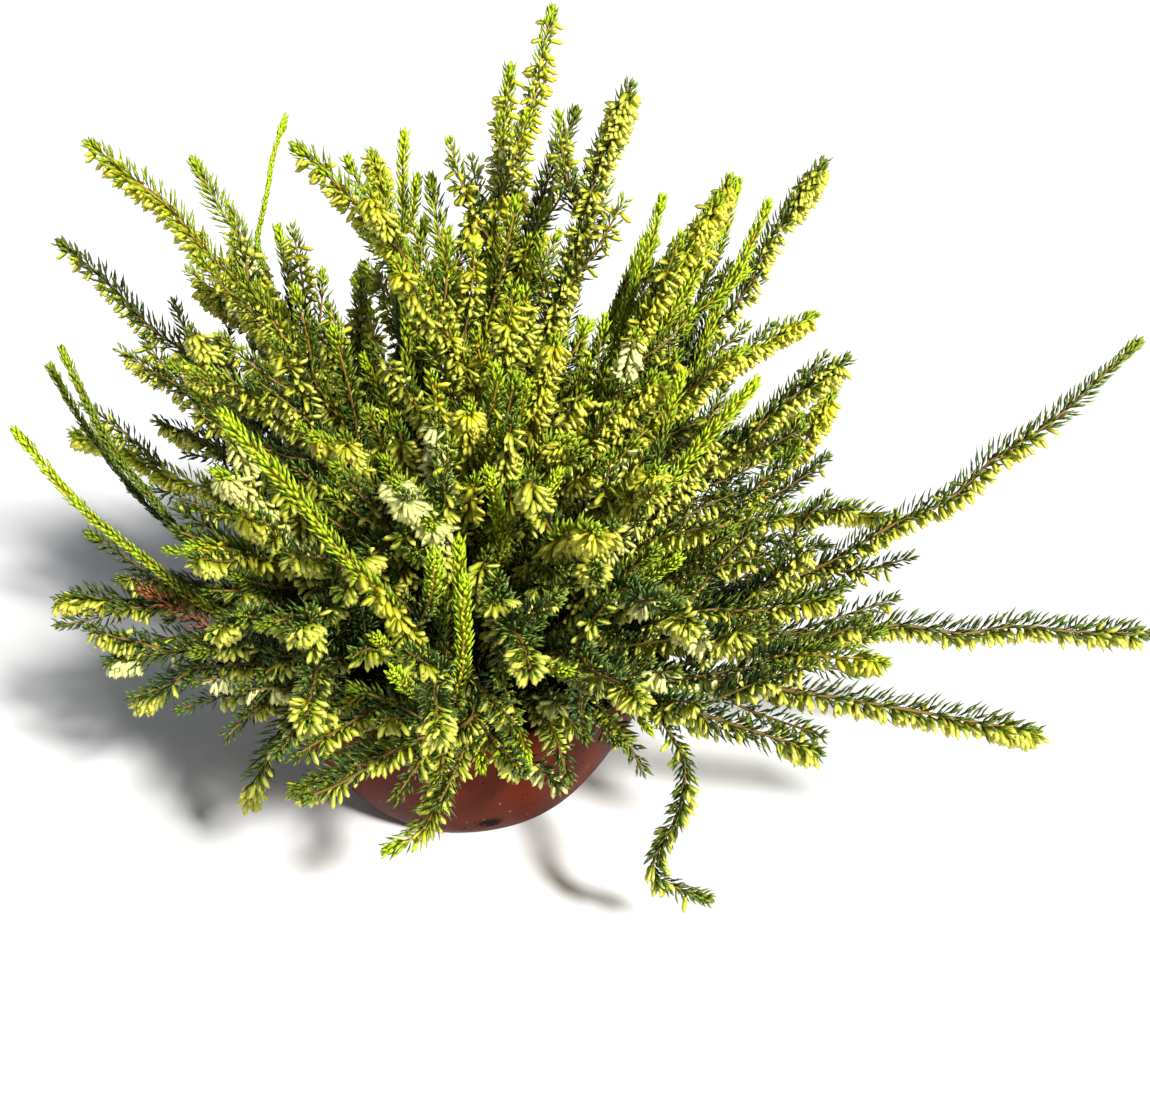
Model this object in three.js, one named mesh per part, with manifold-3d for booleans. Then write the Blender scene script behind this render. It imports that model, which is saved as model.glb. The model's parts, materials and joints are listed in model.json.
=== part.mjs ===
// Potted Darley Dale heath: a winter heath in bud, in a shallow round plastic bowl.
// Millimetres, +Z up. The origin is the middle of the pot's flat base, on the surface it stands on.
// Azimuths are counted from +X towards +Y, and the side with the hanging shoots faces -Y.

import * as THREE from 'three';
import { mergeVertices } from 'three/addons/utils/BufferGeometryUtils.js';
import Module from 'manifold-3d';

const wasm = await Module();
wasm.setup();

// Pot: a thin bowl whose wall curves out to a plain rounded rim
const POT_HEIGHT = 76;
const POT_RIM_RADIUS = 95;
const POT_BASE_RADIUS = 48;
const POT_CURVE = 0.72;
const POT_WALL = 2.5;
const POT_LIP = 1.25;
const POT_FLOOR = 3;
const POT_SIDES = 24;
const POT_PROFILE_STEPS = 4;
const POT_STEP_GROWTH = 1.3;
const DRAIN_COUNT = 4;
const DRAIN_RADIUS = 3;
const DRAIN_CIRCLE = 30;
const DRAIN_SIDES = 6;

// Soil: fills the bowl to a little below the rim
const SOIL_TOP = 68;
const FIT_GAP = 0.3;
const HOLE_DEPTH = 16;
const SOIL_FLAT_RADIUS = 50;
const SOIL_RELIEF = 1.5;
const SOIL_WAVES = 3;
const SOIL_RIPPLES = 8;
const SOIL_RIPPLE_SHARE = 0.6;

// Stems: they leave the soil inside the crown and thin out towards their tips
const CROWN_RADIUS = 42;
const CROWN_CURVE = 0.8;
const STEM_ROOT_RADIUS = 1.5;
const STEM_TIP_RADIUS = 1.1;
const STEM_SIDES = 3;
const STEM_STEPS = 20;
const ROOT_LENGTH = 14;
const COLLAR = 2;
const FORK_STRIDE = 9;
const FORK_THINNER = 0.85;
const FORK_HEADING_AT = 4;

// Needles stand in whorls, one on each side of the stem, each whorl turned half a side
const WHORL_SPACING = 12.4;
const WHORL_HEIGHT = 2;
const FEWEST_WHORLS = 3;
const BARE_STEP = 55;
const NEEDLE_LENGTH = 10;
const NEEDLE_ANGLE = 52;
const TIP_NEEDLE_LENGTH = 6.5;
const TIP_NEEDLE_ANGLE = 30;
const TUFT_ANGLE = 16;
const TIP_SPAN = [0.6, 0.9];
const NEEDLE_PARTS = [1, 0.8, 0.6];
const SLIM_NEEDLE_LENGTH = 7;
const SLIM_NEEDLE_ANGLE = 30;

// Buds hang from the lower side of a shoot on short stalks
const BUD_LENGTH = 7.5;
const BUD_RADIUS = 1.45;
const BUD_BELLY = 0.6;
const BUD_OUT = 0.75;
const BUD_DROP = 0.6;
const BUD_FORWARD = 0.25;
const BUDDED_BELOW = 0.2;
const BUDDED_ALL_ROUND = 0.75;
const DARK_BUD_START = 0.5;

// Room that shoots of different stems leave each other
const SHOOT_CLEARANCE = 10;
const ROOT_CLEARANCE = 6.5;
const CLEARANCE_GROWTH = 0.9;
const FORK_CLEARANCE = 4.2;
const FORK_GROWTH = 0.7;
const BEND_PASSES = 70;
const PUSH_SHARE = 0.5;
const SMOOTHING_ROUNDS = 2;
const LEADER_GIVE = 0.35;
const NEEDLE_MARGIN = 1.5;
const BUD_MARGIN = 2.9;
const RIM_CLEARANCE = 9;
const FLOOR_CLEARANCE = 14;
const POT_MARGIN = 1;

// What grows on a shoot
const BUDDED = 'budded';
const SLIM = 'slim';
const DARK = 'dark';

// Stems that rise from the soil: name, kind, bearing and lean in degrees, reach of the tip from
// the root, then how far the middle bows up and swings sideways off that straight line.
const STEMS = [
  ['left_slim_low', SLIM, 201, 50, 190, -15, 28],
  ['left_slim_mid', SLIM, 184, 44, 195, -24, 12],
  ['left_dark', DARK, 162, 44, 240, 10, 0],
  ['left_big', BUDDED, 172, 31, 255, 30, 10],
  ['left_rear', BUDDED, 147, 32, 243, 0, -5],
  ['left_low', BUDDED, 197, 71, 142, 20, 20],
  ['left_bottom', BUDDED, 211, 74, 124, 16, 20],
  ['arch_over', BUDDED, 180, 13, 225, 45, 15],
  ['top_green_left', SLIM, 112, 14, 226, 0, 10],
  ['top_curl', BUDDED, 106, 10, 206, 10, -5],
  ['top_left', BUDDED, 66, 11, 251, -5, 5],
  ['tallest', BUDDED, 55, 13, 276, -5, 15],
  ['top_dark', DARK, 58, 20, 242, 5, 15],
  ['top_big', BUDDED, 15, 15, 250, 5, 8],
  ['top_pair', SLIM, 25, 23, 211, -5, 0],
  ['top_right', BUDDED, 27, 30, 232, -7, 8],
  ['top_right_green', SLIM, 38, 36, 240, -20, 0],
  ['top_right_slim', SLIM, 20, 33, 228, -10, 0],
  ['right_elbow', BUDDED, 21, 36, 257, 0, 0],
  ['right_short', BUDDED, 5, 37, 170, 18, -5],
  ['right_green', SLIM, 342, 38, 170, 0, -10],
  ['right_upper', BUDDED, 0, 46, 194, 5, 0],
  ['right_upper_low', BUDDED, 13, 53, 181, -20, 0],
  ['right_long_up', BUDDED, 358, 60, 288, -20, -15],
  ['right_mid', BUDDED, 8, 73, 175, 25, 3],
  ['right_rosette', BUDDED, 342, 70, 140, 12, -18],
  ['right_long_flat', BUDDED, 352, 84, 256, 20, -28],
  ['right_long_low', BUDDED, 336, 86, 208, 20, -30],
  ['right_low_short', BUDDED, 322, 85, 140, 14, -18],
  ['front_hook', DARK, 305, 104, 128, 48, 8],
  ['front_hang', BUDDED, 269, 100, 96, 34, 4],
  ['front_lying', BUDDED, 250, 83, 108, 16, 40],
  ['left_down', DARK, 229, 106, 84, 34, 10],
  ['front_big_lime', SLIM, 244, 39, 192, -26, 45],
  ['front_low_left', BUDDED, 255, 68, 129, 16, -18],
  ['front_low_mid', BUDDED, 272, 68, 142, 22, -3],
  ['front_middle', BUDDED, 283, 61, 146, 26, 0],
  ['front_right', BUDDED, 305, 60, 148, 22, 6],
  ['front_right_low', BUDDED, 296, 67, 142, 14, 0],
  ['front_pale_high', BUDDED, 264, 37, 150, 15, 0],
  ['front_high_right', BUDDED, 294, 47, 160, 15, 0],
  ['upper_front', BUDDED, 279, 24, 150, 10, 0],
  ['upper_middle', BUDDED, 330, 15, 155, 6, 4],
  ['upper_right_front', BUDDED, 312, 40, 153, 6, 5],
  ['left_front_upper', BUDDED, 229, 40, 152, 5, 4],
];

// Shoots that fork from a stem: name, the stem, where along it, and the same figures as above
const FORKS = [
  ['left_slim_inner', SLIM, 'left_slim_mid', 0.45, 160, 43, 112, -5, 5],
  ['left_rear_slim', SLIM, 'left_rear', 0.55, 105, 25, 120, 5, 5],
  ['left_bottom_dark', BUDDED, 'left_bottom', 0.4, 190, 105, 72, 8, 5],
  ['left_side', BUDDED, 'left_big', 0.3, 205, 50, 95, 5, 0],
  ['top_pair_second', SLIM, 'top_pair', 0.55, 10, 35, 95, -5, 0],
  ['right_low_side', BUDDED, 'right_long_low', 0.45, 345, 75, 62, 6, 5],
  ['front_lime', SLIM, 'front_hang', 0.6, 290, 25, 80, -6, 0],
  ['front_left', BUDDED, 'front_low_left', 0.35, 262, 58, 82, 12, 0],
  ['front_left_side', BUDDED, 'left_bottom', 0.3, 245, 60, 80, 12, 0],
  ['front_left_up', BUDDED, 'front_pale_high', 0.35, 255, 62, 92, 12, 0],
  ['front_right_mid', BUDDED, 'front_right', 0.3, 285, 55, 92, 10, 0],
  ['front_pale_mid', BUDDED, 'front_pale_high', 0.45, 275, 58, 85, 8, 0],
  ['front_lime_pair', SLIM, 'front_middle', 0.35, 278, 28, 85, 0, 5],
  ['upper_front_right', BUDDED, 'upper_front', 0.35, 315, 42, 95, 8, 0],
  ['upper_front_left', BUDDED, 'upper_front', 0.25, 215, 38, 105, 6, 0],
  ['upper_right_middle', BUDDED, 'upper_middle', 0.3, 350, 40, 110, 6, 0],
  ['left_middle', BUDDED, 'left_front_upper', 0.35, 222, 60, 90, 5, 0],
];

// Stems of the rear half: they follow a rule, and all but the most upright fork
const REAR_COUNT = 13;
const REAR_MIDDLE = 92;
const REAR_SPREAD = 160;
const GOLDEN = 0.618034;
const REAR_LEANS = [24, 84];
const REAR_REACHES = [235, 145];
const REAR_REACH_VARIES = 30;
const REAR_BOWS = [6, 26];
const REAR_SWING = 14;
const REAR_FORKED_PAST = 40;
const REAR_FORK_AT = 0.4;
const REAR_FORK_TURN = 34;
const REAR_FORK_LEAN = 14;
const REAR_FORK_SHARE = 0.58;
const REAR_SLIM_EVERY = 5;
const REAR_SEED = 4711;
const RANDOM_FACTOR = 48271;
const RANDOM_RANGE = 2147483647;

// Where along a shoot its needles and its buds begin and end
const LEAF_START = [0.52, 0.27];
const FORK_LEAF_START = 0.25;
const BUD_SPAN = [0.12, 0.93];

const COLOURS = { budded: 0xa8ba3c, slim: 0x86c22e, dark: 0x556f2c };
const POT_COLOUR = 0x8f4327;
const SOIL_COLOUR = 0x1f1a15;

const UP = new THREE.Vector3(0, 0, 1);
const DOWN = new THREE.Vector3(0, 0, -1);

let seed = REAR_SEED;

// A repeatable random number from 0 to 1
function random() {
  seed = (seed * RANDOM_FACTOR) % RANDOM_RANGE;
  return seed / RANDOM_RANGE;
}

function radians(degrees) {
  return THREE.MathUtils.degToRad(degrees);
}

function mix(pair, t) {
  return THREE.MathUtils.lerp(pair[0], pair[1], t);
}

// The pot's outer and inner radius at a height
function potOuter(z) {
  const t = THREE.MathUtils.clamp(z / POT_HEIGHT, 0, 1);
  return POT_BASE_RADIUS + (POT_RIM_RADIUS - POT_BASE_RADIUS) * Math.pow(t, POT_CURVE);
}

function potInner(z) {
  return potOuter(z) - POT_WALL;
}

// Solid and mesh helpers
function solidOf(geometry) {
  const bare = new THREE.BufferGeometry();
  bare.setAttribute('position', geometry.getAttribute('position'));
  bare.setIndex(geometry.index);
  const merged = mergeVertices(bare, 1e-4);
  return new wasm.Manifold(new wasm.Mesh({
    numProp: 3,
    vertProperties: merged.attributes.position.array,
    triVerts: new Uint32Array(merged.index.array),
  }));
}

function geometryOf(solid) {
  const mesh = solid.getMesh();
  const geometry = new THREE.BufferGeometry();
  geometry.setAttribute('position', new THREE.BufferAttribute(mesh.vertProperties, 3));
  geometry.setIndex(new THREE.BufferAttribute(mesh.triVerts, 1));
  geometry.computeVertexNormals();
  return geometry;
}

// A skin holds corner points and faces, each a list of corner numbers, until it becomes a geometry
function skinGeometry({ corners, faces }) {
  const geometry = new THREE.BufferGeometry().setFromPoints(corners);
  geometry.setIndex(faces.flat());
  return geometry;
}

// Splits a four-cornered face along the diagonal that stands out, so that a turned stem isn't pinched
function addQuad({ corners, faces }, [a, b, c, d]) {
  const plane = new THREE.Plane().setFromCoplanarPoints(corners[a], corners[b], corners[c]);
  if (plane.distanceToPoint(corners[d]) < 0) {
    faces.push([a, b, c], [a, c, d]);
  } else {
    faces.push([a, b, d], [b, c, d]);
  }
}

// The four corners of side j between two rings of corners that start at these numbers
function ringQuad(lower, upper, j) {
  const next = (j + 1) % STEM_SIDES;
  return [lower + j, lower + next, upper + next, upper + j];
}

// Two directions square to a tangent, the first one as near as possible to a given side
function crossDirections(tangent, side) {
  const first = side.clone().addScaledVector(tangent, -side.dot(tangent)).normalize();
  return [first, new THREE.Vector3().crossVectors(tangent, first)];
}

function ringCorners(centre, tangent, side, radius, turn) {
  const [first, second] = crossDirections(tangent, side);
  return Array.from({ length: STEM_SIDES }, (_, j) => {
    const angle = turn + j * 2 * Math.PI / STEM_SIDES;
    return centre.clone()
      .addScaledVector(first, radius * Math.cos(angle))
      .addScaledVector(second, radius * Math.sin(angle));
  });
}

// A profile of radius and height pairs spun round +Z; it runs up the outside and back down inside
function spin(profile, sides) {
  const points = profile.map(([radius, z]) => new THREE.Vector2(radius, z));
  return new THREE.LatheGeometry(points, sides).rotateX(Math.PI / 2);
}

// Heights up a wall, closer together where it curves most
function wallHeights(low, high, steps) {
  return Array.from({ length: steps + 1 }, (_, i) => low + (high - low) * Math.pow(i / steps, POT_STEP_GROWTH));
}

const POT_INSIDE = wallHeights(POT_FLOOR, POT_HEIGHT - POT_LIP, POT_PROFILE_STEPS).map((z) => [potInner(z), z]);

function potGeometry() {
  const outside = wallHeights(0, POT_HEIGHT - POT_LIP, POT_PROFILE_STEPS).map((z) => [potOuter(z), z]);
  const crest = [POT_RIM_RADIUS - POT_LIP, POT_HEIGHT];
  const profile = [[0, 0], ...outside, crest, ...POT_INSIDE.toReversed(), [0, POT_FLOOR]];
  let pot = solidOf(spin(profile, POT_SIDES));
  for (let i = 0; i < DRAIN_COUNT; i++) {
    const around = (i + 0.5) * (2 * Math.PI / DRAIN_COUNT);
    const drain = new THREE.CylinderGeometry(DRAIN_RADIUS, DRAIN_RADIUS, 3 * POT_FLOOR, DRAIN_SIDES);
    drain.rotateX(Math.PI / 2);
    drain.translate(DRAIN_CIRCLE * Math.cos(around), DRAIN_CIRCLE * Math.sin(around), 0);
    pot = pot.subtract(solidOf(drain));
  }
  return geometryOf(pot);
}

// The cutter for a stem's hole: three-sided as the stem is, and turned the same way
function holeGeometry(stem) {
  const root = stem.points[0];
  const corners = [];
  for (const z of [SOIL_TOP - HOLE_DEPTH, SOIL_TOP + HOLE_DEPTH]) {
    corners.push(...ringCorners(root.clone().setZ(z), UP, stem.side, STEM_ROOT_RADIUS + 2 * FIT_GAP, 0));
  }
  const skin = { corners, faces: [[2, 1, 0], [3, 4, 5]] };
  for (let j = 0; j < STEM_SIDES; j++) addQuad(skin, ringQuad(0, STEM_SIDES, j));
  return skinGeometry(skin);
}

// The soil, with a plain hole for each stem
function soilGeometry(stems) {
  const low = POT_FLOOR + FIT_GAP;
  const side = POT_INSIDE.slice(0, -1).map(([radius, z]) => [radius - 2 * FIT_GAP, z + FIT_GAP]);
  const [below, above] = POT_INSIDE.slice(-2);
  const topShare = (SOIL_TOP - below[1]) / (above[1] - below[1]);
  side.push([mix([below[0], above[0]], topShare) - 2 * FIT_GAP, SOIL_TOP]);
  const ridge = (SOIL_FLAT_RADIUS + POT_RIM_RADIUS) / 2;
  const profile = [[0, low], ...side, [ridge, SOIL_TOP], [SOIL_FLAT_RADIUS, SOIL_TOP], [0, SOIL_TOP]];
  const blank = spin(profile, POT_SIDES);
  const position = blank.getAttribute('position');
  for (let i = 0; i < position.count; i++) {
    const radius = Math.hypot(position.getX(i), position.getY(i));
    if (Math.abs(radius - ridge) < 1 && position.getZ(i) > SOIL_TOP - 1) {
      const around = Math.atan2(position.getY(i), position.getX(i));
      const ripple = SOIL_RIPPLE_SHARE * Math.sin(SOIL_RIPPLES * around + radius);
      position.setZ(i, SOIL_TOP + SOIL_RELIEF * (Math.sin(SOIL_WAVES * around) + ripple));
    }
  }
  const holes = stems.map((stem) => solidOf(holeGeometry(stem)));
  return geometryOf(solidOf(blank).subtract(wasm.Manifold.union(holes)));
}

// The points of a shoot: a straight line from the root, bowed up and swung sideways in the middle
function routeOf(root, bearing, lean, reach, bow, swing) {
  const b = radians(bearing);
  const l = radians(lean);
  const along = new THREE.Vector3(Math.sin(l) * Math.cos(b), Math.sin(l) * Math.sin(b), Math.cos(l));
  const side = new THREE.Vector3(-Math.sin(b), Math.cos(b), 0);
  const lift = new THREE.Vector3().crossVectors(along, side);
  const points = [];
  for (let k = 0; k <= STEM_STEPS; k++) {
    const t = k / STEM_STEPS;
    const arch = 4 * t * (1 - t);
    points.push(root.clone()
      .addScaledVector(along, reach * t)
      .addScaledVector(lift, bow * arch)
      .addScaledVector(side, swing * arch));
  }
  return { points, side };
}

function rootOf(bearing, lean) {
  const out = CROWN_RADIUS * Math.pow(Math.min(lean, 90) / 90, CROWN_CURVE);
  return new THREE.Vector3(out * Math.cos(radians(bearing)), out * Math.sin(radians(bearing)), SOIL_TOP);
}

function makeShoots() {
  const shoots = [];
  const addStem = (name, kind, bearing, lean, reach, bow, swing, give) => {
    const route = routeOf(rootOf(bearing, lean), bearing, lean, reach, bow, swing);
    shoots.push({ name, kind, stem: name, give, leafStart: mix(LEAF_START, lean / 90), ...route });
  };
  const addFork = (name, kind, parentName, from, bearing, lean, reach, bow, swing, give) => {
    const parent = shoots.find((shoot) => shoot.name === parentName);
    const at = Math.round(from * STEM_STEPS);
    const route = routeOf(parent.points[at], bearing, lean, reach, bow, swing);
    shoots.push({
      name, kind, stem: parent.stem, give, leafStart: FORK_LEAF_START, parent, at, ...route,
    });
  };
  for (const [name, kind, ...figures] of STEMS) addStem(name, kind, ...figures, LEADER_GIVE);
  for (const [name, kind, ...figures] of FORKS) addFork(name, kind, ...figures, LEADER_GIVE);
  for (let i = 0; i < REAR_COUNT; i++) {
    const down = (i + 0.5) / REAR_COUNT;
    const bearing = REAR_MIDDLE + REAR_SPREAD * ((i * GOLDEN) % 1 - 0.5);
    const lean = mix(REAR_LEANS, down);
    const reach = mix(REAR_REACHES, down) + REAR_REACH_VARIES * (random() - 0.5);
    const bow = mix(REAR_BOWS, down);
    const swing = REAR_SWING * (2 * random() - 1);
    const kind = i % REAR_SLIM_EVERY === 2 ? SLIM : BUDDED;
    const name = `rear_${i + 1}`;
    addStem(name, kind, bearing, lean, reach, bow, swing, 1);
    if (lean < REAR_FORKED_PAST) continue;
    const turn = REAR_FORK_TURN * (i % 2 ? 1 : -1);
    const forkLean = Math.max(lean - REAR_FORK_LEAN, REAR_FORK_LEAN);
    addFork(`${name}_fork`, BUDDED, name, REAR_FORK_AT, bearing + turn, forkLean,
      reach * REAR_FORK_SHARE, bow / 2, 0, 1);
  }
  return shoots;
}

// Stems that would meet are bent clear of each other, of the rim and of the ground
function bendClear(shoots) {
  for (let pass = 0; pass < BEND_PASSES; pass++) {
    for (const shoot of shoots) shoot.push = shoot.points.map(() => new THREE.Vector3());
    for (let i = 0; i < shoots.length; i++) {
      for (let j = i + 1; j < shoots.length; j++) {
        if (shoots[j].parent !== shoots[i]) pushApart(shoots[i], shoots[j]);
      }
    }
    for (const shoot of shoots) keepOffPot(shoot);
    for (const shoot of shoots) if (shoot.parent) keepOffParent(shoot);
    for (const shoot of shoots) settle(shoot);
  }
}

// The room between point k of one shoot and point m of another: it grows from root and fork outwards
function roomNeeded(a, k, b, m) {
  if (a.parent && a.parent === b.parent) return Math.min(SHOOT_CLEARANCE, FORK_GROWTH * Math.min(k, m));
  const fromRoot = Math.min(a.parent ? k + a.at : k, b.parent ? m + b.at : m);
  return Math.min(SHOOT_CLEARANCE, ROOT_CLEARANCE + CLEARANCE_GROWTH * fromRoot);
}

function pushApart(a, b) {
  const share = a.give / (a.give + b.give);
  for (let k = 0; k <= STEM_STEPS; k++) {
    const p = a.points[k];
    for (let m = 0; m <= STEM_STEPS; m++) {
      const q = b.points[m];
      const dx = p.x - q.x;
      const dy = p.y - q.y;
      const dz = p.z - q.z;
      const distance = Math.sqrt(dx * dx + dy * dy + dz * dz);
      if (distance >= SHOOT_CLEARANCE) continue;
      const need = roomNeeded(a, k, b, m);
      if (distance >= need) continue;
      const shift = PUSH_SHARE * (need - distance) / Math.max(distance, 0.01);
      a.push[k].x += dx * shift * share;
      a.push[k].y += dy * shift * share;
      a.push[k].z += dz * shift * share;
      b.push[m].x -= dx * shift * (1 - share);
      b.push[m].y -= dy * shift * (1 - share);
      b.push[m].z -= dz * shift * (1 - share);
    }
  }
}

// Turns a fork away from its parent quickly enough to leave room for its foot
function keepOffParent(fork) {
  for (let k = 1; k <= STEM_STEPS; k++) {
    const p = fork.points[k];
    const away = p.clone().sub(nearestOn(p, fork.parent));
    const need = Math.min(SHOOT_CLEARANCE, FORK_CLEARANCE + FORK_GROWTH * (k - 1));
    const distance = Math.max(away.length(), 0.01);
    if (distance < need) fork.push[k].addScaledVector(away, (need - distance) / distance);
  }
}

function keepOffPot(shoot) {
  const rim = POT_HEIGHT + RIM_CLEARANCE;
  shoot.points.forEach((p, k) => {
    const radius = Math.hypot(p.x, p.y);
    const outside = potOuter(p.z) + RIM_CLEARANCE;
    if (p.z < rim && radius > potInner(SOIL_TOP) - RIM_CLEARANCE && radius < outside) {
      if (rim - p.z < outside - radius) {
        shoot.push[k].z += PUSH_SHARE * (rim - p.z);
      } else {
        shoot.push[k].x += PUSH_SHARE * (outside - radius) * p.x / radius;
        shoot.push[k].y += PUSH_SHARE * (outside - radius) * p.y / radius;
      }
    }
    if (p.z < FLOOR_CLEARANCE) shoot.push[k].z += FLOOR_CLEARANCE - p.z;
  });
}

// Moves a shoot by its pushes, evened out along it so that it stays a smooth curve
function settle(shoot) {
  const last = STEM_STEPS;
  let push = shoot.push;
  for (let round = 0; round < SMOOTHING_ROUNDS; round++) {
    push = push.map((v, k) => new THREE.Vector3()
      .addScaledVector(push[Math.max(k - 1, 0)], 0.25)
      .addScaledVector(v, 0.5)
      .addScaledVector(push[Math.min(k + 1, last)], 0.25));
  }
  if (shoot.parent) {
    push[0].copy(shoot.parent.points[shoot.at]).sub(shoot.points[0]);
  } else {
    push[0].z = 0;
  }
  shoot.points.forEach((p, k) => p.add(push[k]));
}

// The point of a shoot's line that is nearest to p
function nearestOn(p, shoot) {
  const segment = new THREE.Line3();
  const foot = new THREE.Vector3();
  const nearest = shoot.points[0].clone();
  for (let k = 0; k < STEM_STEPS; k++) {
    segment.set(shoot.points[k], shoot.points[k + 1]);
    segment.closestPointToPoint(p, true, foot);
    if (foot.distanceToSquared(p) < nearest.distanceToSquared(p)) nearest.copy(foot);
  }
  return nearest;
}

// Whether a point lies inside the pot's wall, in the soil or below the ground
function inPot(p) {
  if (p.z < POT_MARGIN) return true;
  if (p.z > POT_HEIGHT + POT_MARGIN) return false;
  const radius = Math.hypot(p.x, p.y);
  if (radius > potOuter(p.z) + POT_MARGIN) return false;
  return !(p.z > SOIL_TOP + 2 * SOIL_RELIEF && radius < potInner(p.z) - POT_MARGIN);
}

// Whether a point is nearer to its own shoot than to any other, by the margin
function hasRoom(p, shoot, shoots, margin) {
  if (inPot(p)) return false;
  const own = nearestOn(p, shoot).distanceTo(p);
  return shoots.every((other) => other === shoot || nearestOn(p, other).distanceTo(p) > own + margin);
}

// Where a shoot has rings: single ones on bare wood, and pairs for a whorl or a fork
function stationsOf(shoot, length, forks) {
  const leafStart = shoot.leafStart * length;
  const bareSteps = Math.max(1, Math.round(leafStart / BARE_STEP));
  const stations = [];
  for (let k = 1; k < bareSteps; k++) stations.push({ s: leafStart * k / bareSteps });
  const whorls = Math.max(FEWEST_WHORLS, Math.round((length - leafStart) / WHORL_SPACING));
  for (let i = 0; i < whorls; i++) {
    const share = i / (whorls - 1);
    stations.push({ s: mix([leafStart, length - WHORL_HEIGHT], share), share, index: i });
  }
  for (const fork of forks) {
    const s = length * fork.at / STEM_STEPS;
    const near = stations.find((station) => Math.abs(station.s - s) < WHORL_SPACING / 2);
    if (near) near.fork = fork;
    else stations.push({ s, fork });
  }
  const first = shoot.parent ? FORK_STRIDE + 2 * COLLAR : 3 * COLLAR;
  return stations.filter((station) => station.s > first).sort((a, b) => a.s - b.s);
}

// Adds a shoot to a skin: a thin three-sided stem whose faces are drawn out into needles and buds.
// A stem stands upright in its hole, and a fork grows out of three corners of its parent.
function growShoot(skin, shoot, shoots, foot) {
  const { corners, faces } = skin;
  const curve = new THREE.CatmullRomCurve3(shoot.points);
  curve.arcLengthDivisions = 10 * STEM_STEPS;
  const length = curve.getLength();
  const forks = shoots.filter((other) => other.parent === shoot);
  const thickness = shoot.parent ? FORK_THINNER : 1;
  let side = shoot.side;
  let baseTurn = 0;
  let last = 0;

  const addRing = (centre, tangent, radius, turn) => {
    [side] = crossDirections(tangent, side);
    last = corners.length;
    corners.push(...ringCorners(centre, tangent, side, radius, baseTurn + turn));
    return last;
  };
  const ringAt = (s, turn) => {
    const radius = mix([STEM_ROOT_RADIUS, STEM_TIP_RADIUS], s / length) * thickness;
    return addRing(curve.getPointAt(s / length), curve.getTangentAt(s / length), radius, turn);
  };
  const joinRings = (lower, upper) => {
    for (let j = 0; j < STEM_SIDES; j++) addQuad(skin, ringQuad(lower, upper, j));
  };

  if (foot) {
    const centre = middleOf(foot.map((index) => corners[index]));
    const [first, second] = crossDirections(curve.getTangentAt(FORK_STRIDE / length), shoot.side);
    const spoke = corners[foot[0]].clone().sub(centre);
    baseTurn = Math.atan2(spoke.dot(second), spoke.dot(first));
    const ring = ringAt(FORK_STRIDE, 0);
    foot.forEach((index, j) => {
      const next = (j + 1) % STEM_SIDES;
      addQuad(skin, [index, foot[next], ring + next, ring + j]);
    });
  } else {
    const root = shoot.points[0];
    const buried = addRing(root.clone().setZ(SOIL_TOP - ROOT_LENGTH), UP, STEM_ROOT_RADIUS, 0);
    faces.push([buried + 2, buried + 1, buried]);
    joinRings(buried, addRing(root.clone().setZ(SOIL_TOP + COLLAR), UP, STEM_ROOT_RADIUS, 0));
  }

  for (const { s, share, index = 0, fork } of stationsOf(shoot, length, forks)) {
    const turn = (index % 2) * Math.PI / STEM_SIDES;
    const below = last;
    const lower = ringAt(s, turn);
    joinRings(below, lower);
    if (share === undefined && !fork) continue;
    const upper = ringAt(Math.min(s + WHORL_HEIGHT, length), turn);
    const tangent = curve.getTangentAt(s / length);
    const sides = Array.from({ length: STEM_SIDES }, (_, j) => ringQuad(lower, upper, j));
    const forkSide = fork ? sideFacing(corners, sides, fork) : null;
    sides.forEach((base, j) => {
      if (base === forkSide) {
        const [a, b, c, d] = base;
        faces.push([a, c, d]);
        growShoot(skin, fork, shoots, [a, b, c]);
      } else if (share === undefined) {
        addQuad(skin, base);
      } else {
        growOn(skin, base, { shoot, shoots, tangent, share, count: index + j });
      }
    });
    last = upper;
  }

  const tip = corners.length;
  corners.push(shoot.points[STEM_STEPS].clone().addScaledVector(curve.getTangentAt(1), COLLAR));
  for (let j = 0; j < STEM_SIDES; j++) faces.push([last + j, last + (j + 1) % STEM_SIDES, tip]);
}

function middleOf(points) {
  const middle = new THREE.Vector3();
  points.forEach((p) => middle.addScaledVector(p, 1 / points.length));
  return middle;
}

function outwardOf(corners, [a, b, , d]) {
  const across = corners[b].clone().sub(corners[a]);
  return across.cross(corners[d].clone().sub(corners[a])).normalize();
}

// The side of a band that looks most towards where a fork goes
function sideFacing(corners, sides, fork) {
  const heading = fork.points[FORK_HEADING_AT].clone().sub(fork.points[0]);
  return sides.reduce((best, side) => (
    outwardOf(corners, side).dot(heading) > outwardOf(corners, best).dot(heading) ? side : best));
}

// Draws one side of a whorl out into a bud or a needle, or leaves it plain where there is no room
function growOn(skin, base, place) {
  const { shoot, tangent, share, count } = place;
  const middle = middleOf(base.map((index) => skin.corners[index]));
  const out = outwardOf(skin.corners, base);
  const upright = Math.abs(tangent.z) > BUDDED_ALL_ROUND;
  const hangs = out.dot(DOWN) > BUDDED_BELOW || (upright && count % 2 === 0);
  const inSpan = share > BUD_SPAN[0] && share < BUD_SPAN[1];
  const flowering = shoot.kind === BUDDED || (shoot.kind === DARK && share > DARK_BUD_START);
  const grown = (hangs && inSpan && flowering && growBud(skin, base, middle, out, place))
    || growNeedle(skin, base, middle, out, place);
  if (!grown) addQuad(skin, base);
}

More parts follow.
